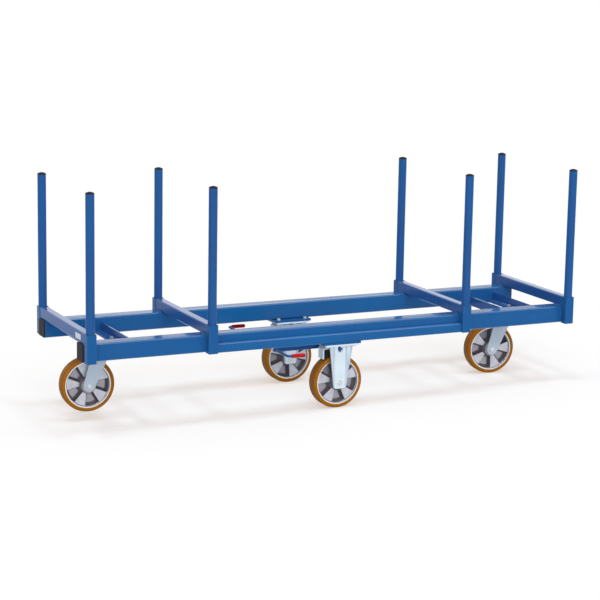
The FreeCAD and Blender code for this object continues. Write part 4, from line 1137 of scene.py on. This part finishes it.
@dataclass
class CastorSet:
    """Forks, heads, axles and wheels of the four castors.

    ring_profile goes round a lock-nut ring's section: radius in metres and share of the ring's height.
    """

    tyre: TyreFinish = field(default_factory=TyreFinish)
    wheel: CastWheelFinish = field(default_factory=CastWheelFinish)
    ring_profile: tuple[Range, ...] = ((0.0052, 0.0), (0.0072, 0.0), (0.0066, 0.6), (0.0061, 0.95),
                                       (0.0056, 1.0), (0.0052, 0.7))
    ring_height: float = 0.0016
    ring_steps: int = 20
    bolt_half_length: float = 0.070
    bolt_half_width: float = 0.0525
    swivel_nut_top: float = 0.344
    fixed_nut_top: float = 0.328

    def finish(self, frame: dict, looks: CartFinishes) -> None:
        """Dress the castors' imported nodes.

        Args:
            looks: materials of the cart.
        """
        dress(frame, ["fixed_fork_front", "fixed_fork_rear", "swivel_heads"], looks.zinc)
        dress(frame, ["swivel_fork_left", "swivel_fork_right"], looks.shaded_zinc)
        dress(frame, ["castor_fasteners", "fixed_axles", "swivel_axle_left", "swivel_axle_right"],
              looks.bolt_zinc)
        dress(frame, [f"wheel_bearings_{side.value}" for side in Side], looks.steel)

    def finish_wheels(self, frame: dict, effects: SharedEffects) -> None:
        """Dress each wheel in a finish that knows its own centre and axle.

        Args:
            effects: shared node groups.
        """
        joints = {joint["name"]: joint for joint in frame["joints"]}
        for side in Side:
            spin = joints[f"{side.value}_wheel_spin"]
            place = WheelPlace(side, tuple(spin["pos_m"]), tuple(spin["axis"]))
            dress(frame, [f"tyre_{side.value}"], self.tyre.material(effects, place))
            dress(frame, [f"wheel_rim_{side.value}"], self.wheel.material(effects, place))

    def nut_places(self) -> list[Vector]:
        """Tops of the castor nuts.

        Returns:
            Points in the middle of each nut's top face.
        """
        places = []
        for x in (-self.bolt_half_length, self.bolt_half_length):
            for axis in (-SWIVEL_PLACE, SWIVEL_PLACE):
                for y in (-self.bolt_half_width, self.bolt_half_width):
                    places.append(Vector((axis + x, y, self.swivel_nut_top)))
            for side in (-1, 1):
                inner = side * (RAIL_LINE - self.bolt_half_width)
                places.append(Vector((x, inner, self.fixed_nut_top)))
        return places

    def build_lock_rings(self, material: Material) -> None:
        """Add the nylon rings in the tops of the lock nuts.

        Args:
            material: nylon finish.
        """
        shape = bmesh.new()
        for place in self.nut_places():
            sections = []
            for step in range(self.ring_steps):
                angle = 2 * math.pi * step / self.ring_steps
                out = Vector((math.cos(angle), math.sin(angle), 0))
                up = Vector((0, 0, self.ring_height))
                sections.append([shape.verts.new(place + radius * out + rise * up)
                                 for radius, rise in self.ring_profile])
            for near, far in zip(sections, sections[1:] + sections[:1]):
                bridge(shape, near, far)
        add_piece("lock_nut_rings", shape, material, smooth=True)


@dataclass
class BrakeSet:
    """Hand brakes of the fixed castors."""

    sides: tuple[Side, ...] = (Side.FRONT, Side.REAR)

    def finish(self, frame: dict, looks: CartFinishes) -> None:
        """Dress the brakes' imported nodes.

        Args:
            looks: materials of the cart.
        """
        finishes = {"brake_lever": looks.stake_enamel, "brake_grip": looks.grip, "brake_shoe": looks.zinc,
                    "brake_pad": looks.rubber}
        for part, material in finishes.items():
            dress(frame, [f"{part}_{side.value}" for side in self.sides], material)
        dress(frame, ["brake_bushes"], looks.bronze)


@dataclass(frozen=True)
class Lamp:
    """Distant soft lamp that shines towards the cart, its spread in degrees."""

    name: str
    place: Point
    power: float
    spread: float


@dataclass
class Studio:
    """White studio: floor, soft lamps and the camera of the photograph's view."""

    camera_place: Point = (-3.9904, -8.2766, 2.2807)
    yaw: float = 25.40
    pitch: float = -11.24
    roll: float = 1.00
    lens: float = 118.37
    sensor: float = 36.0
    far_limit: float = 100.0
    floor_slope: float = 0.0202
    floor_half: float = 30.0
    floor_colour: Colour = (0.48, 0.58, 0.66)
    floor_glow: Colour = (0.540, 0.442, 0.363)
    world_light: float = 0.48
    lamps: tuple[Lamp, ...] = (Lamp("left", (-1.0, -0.3, 4.0), 0.55, 12.0),
                               Lamp("right", (0.9, -1.1, 4.0), 0.5, 14.0),
                               Lamp("front", (-1.0, -4.1, 1.9), 1.4, 50.0))

    def build_camera(self) -> None:
        """Place the camera at the photograph's viewing angle."""
        yaw, pitch, roll = (math.radians(angle) for angle in (self.yaw, self.pitch, self.roll))
        forward = Vector((math.sin(yaw) * math.cos(pitch), math.cos(yaw) * math.cos(pitch),
                          math.sin(pitch)))
        level = Vector((math.cos(yaw), -math.sin(yaw), 0.0))
        upright = level.cross(forward)
        right = math.cos(roll) * level + math.sin(roll) * upright
        up = math.cos(roll) * upright - math.sin(roll) * level
        data = bpy.data.cameras.new("photo_camera")
        data.sensor_width = self.sensor
        data.lens = self.lens
        data.clip_end = self.far_limit
        camera = bpy.data.objects.new("photo_camera", data)
        pose = Matrix((right, up, -forward)).transposed().to_4x4()
        pose.translation = Vector(self.camera_place)
        camera.matrix_world = pose
        bpy.context.scene.collection.objects.link(camera)
        bpy.context.scene.camera = camera

    def build_floor(self) -> None:
        """Lay the pale floor under the wheels that carry the cart."""
        mesh = bpy.data.meshes.new("floor")
        half = self.floor_half
        square = ((-half, -half), (half, -half), (half, half), (-half, half))
        mesh.from_pydata([(x, y, self.floor_slope * x) for x, y in square], [], [(0, 1, 2, 3)])
        floor = bpy.data.objects.new("floor", mesh)
        bpy.context.scene.collection.objects.link(floor)
        material = bpy.data.materials.new("studio_floor")
        material.use_nodes = True
        desk = NodeDesk(material.node_tree)
        diffuse = desk.add("ShaderNodeBsdfDiffuse", Color=self.floor_colour)
        glow = desk.add("ShaderNodeEmission", Color=self.floor_glow, Strength=desk.seen())
        both = desk.add("ShaderNodeAddShader")
        for source, socket in zip((diffuse, glow), both.inputs):
            desk.put(source.outputs[0], socket)
        desk.add("ShaderNodeOutputMaterial", Surface=both.outputs[0])
        mesh.materials.append(material)

    def build_world(self) -> None:
        """White surroundings for the eye and for reflections, plain soft light for surfaces."""
        world = bpy.data.worlds.new("studio")
        bpy.context.scene.world = world
        world.use_nodes = True
        desk = NodeDesk(world.node_tree)
        strength = desk.span(desk.seen(), (0.0, 1.0), (self.world_light, 1.0))
        background = desk.add("ShaderNodeBackground", Color=WHITE, Strength=strength)
        desk.add("ShaderNodeOutputWorld", Surface=background.outputs[0])

    def build_lamps(self) -> None:
        """Two lamps overhead and a wide soft one in front."""
        for lamp in self.lamps:
            data = bpy.data.lights.new(lamp.name, "SUN")
            data.energy = lamp.power
            data.angle = math.radians(lamp.spread)
            light = bpy.data.objects.new(lamp.name, data)
            light.location = lamp.place
            light.rotation_euler = (-Vector(lamp.place)).to_track_quat("-Z", "Y").to_euler()
            bpy.context.scene.collection.objects.link(light)

    def build(self) -> None:
        """Set up the whole studio."""
        self.build_camera()
        self.build_floor()
        self.build_world()
        self.build_lamps()
        bpy.context.scene.view_settings.view_transform = "Standard"


def main() -> None:
    """Load the frame, dress each sub-assembly and set up the studio."""
    logging.basicConfig(level=logging.INFO, format="%(message)s")
    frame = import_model()
    effects = SharedEffects()
    looks = CartFinishes(effects)
    body = FrameDress()
    body.finish(frame, looks)
    body.build_plate(looks.card)
    WeldSeams().build(looks.enamel)
    StakeSet().finish(frame, looks)
    castors = CastorSet()
    castors.finish(frame, looks)
    castors.finish_wheels(frame, effects)
    castors.build_lock_rings(looks.nylon)
    BrakeSet().finish(frame, looks)
    Studio().build()


if __name__ == "__main__":
    main()
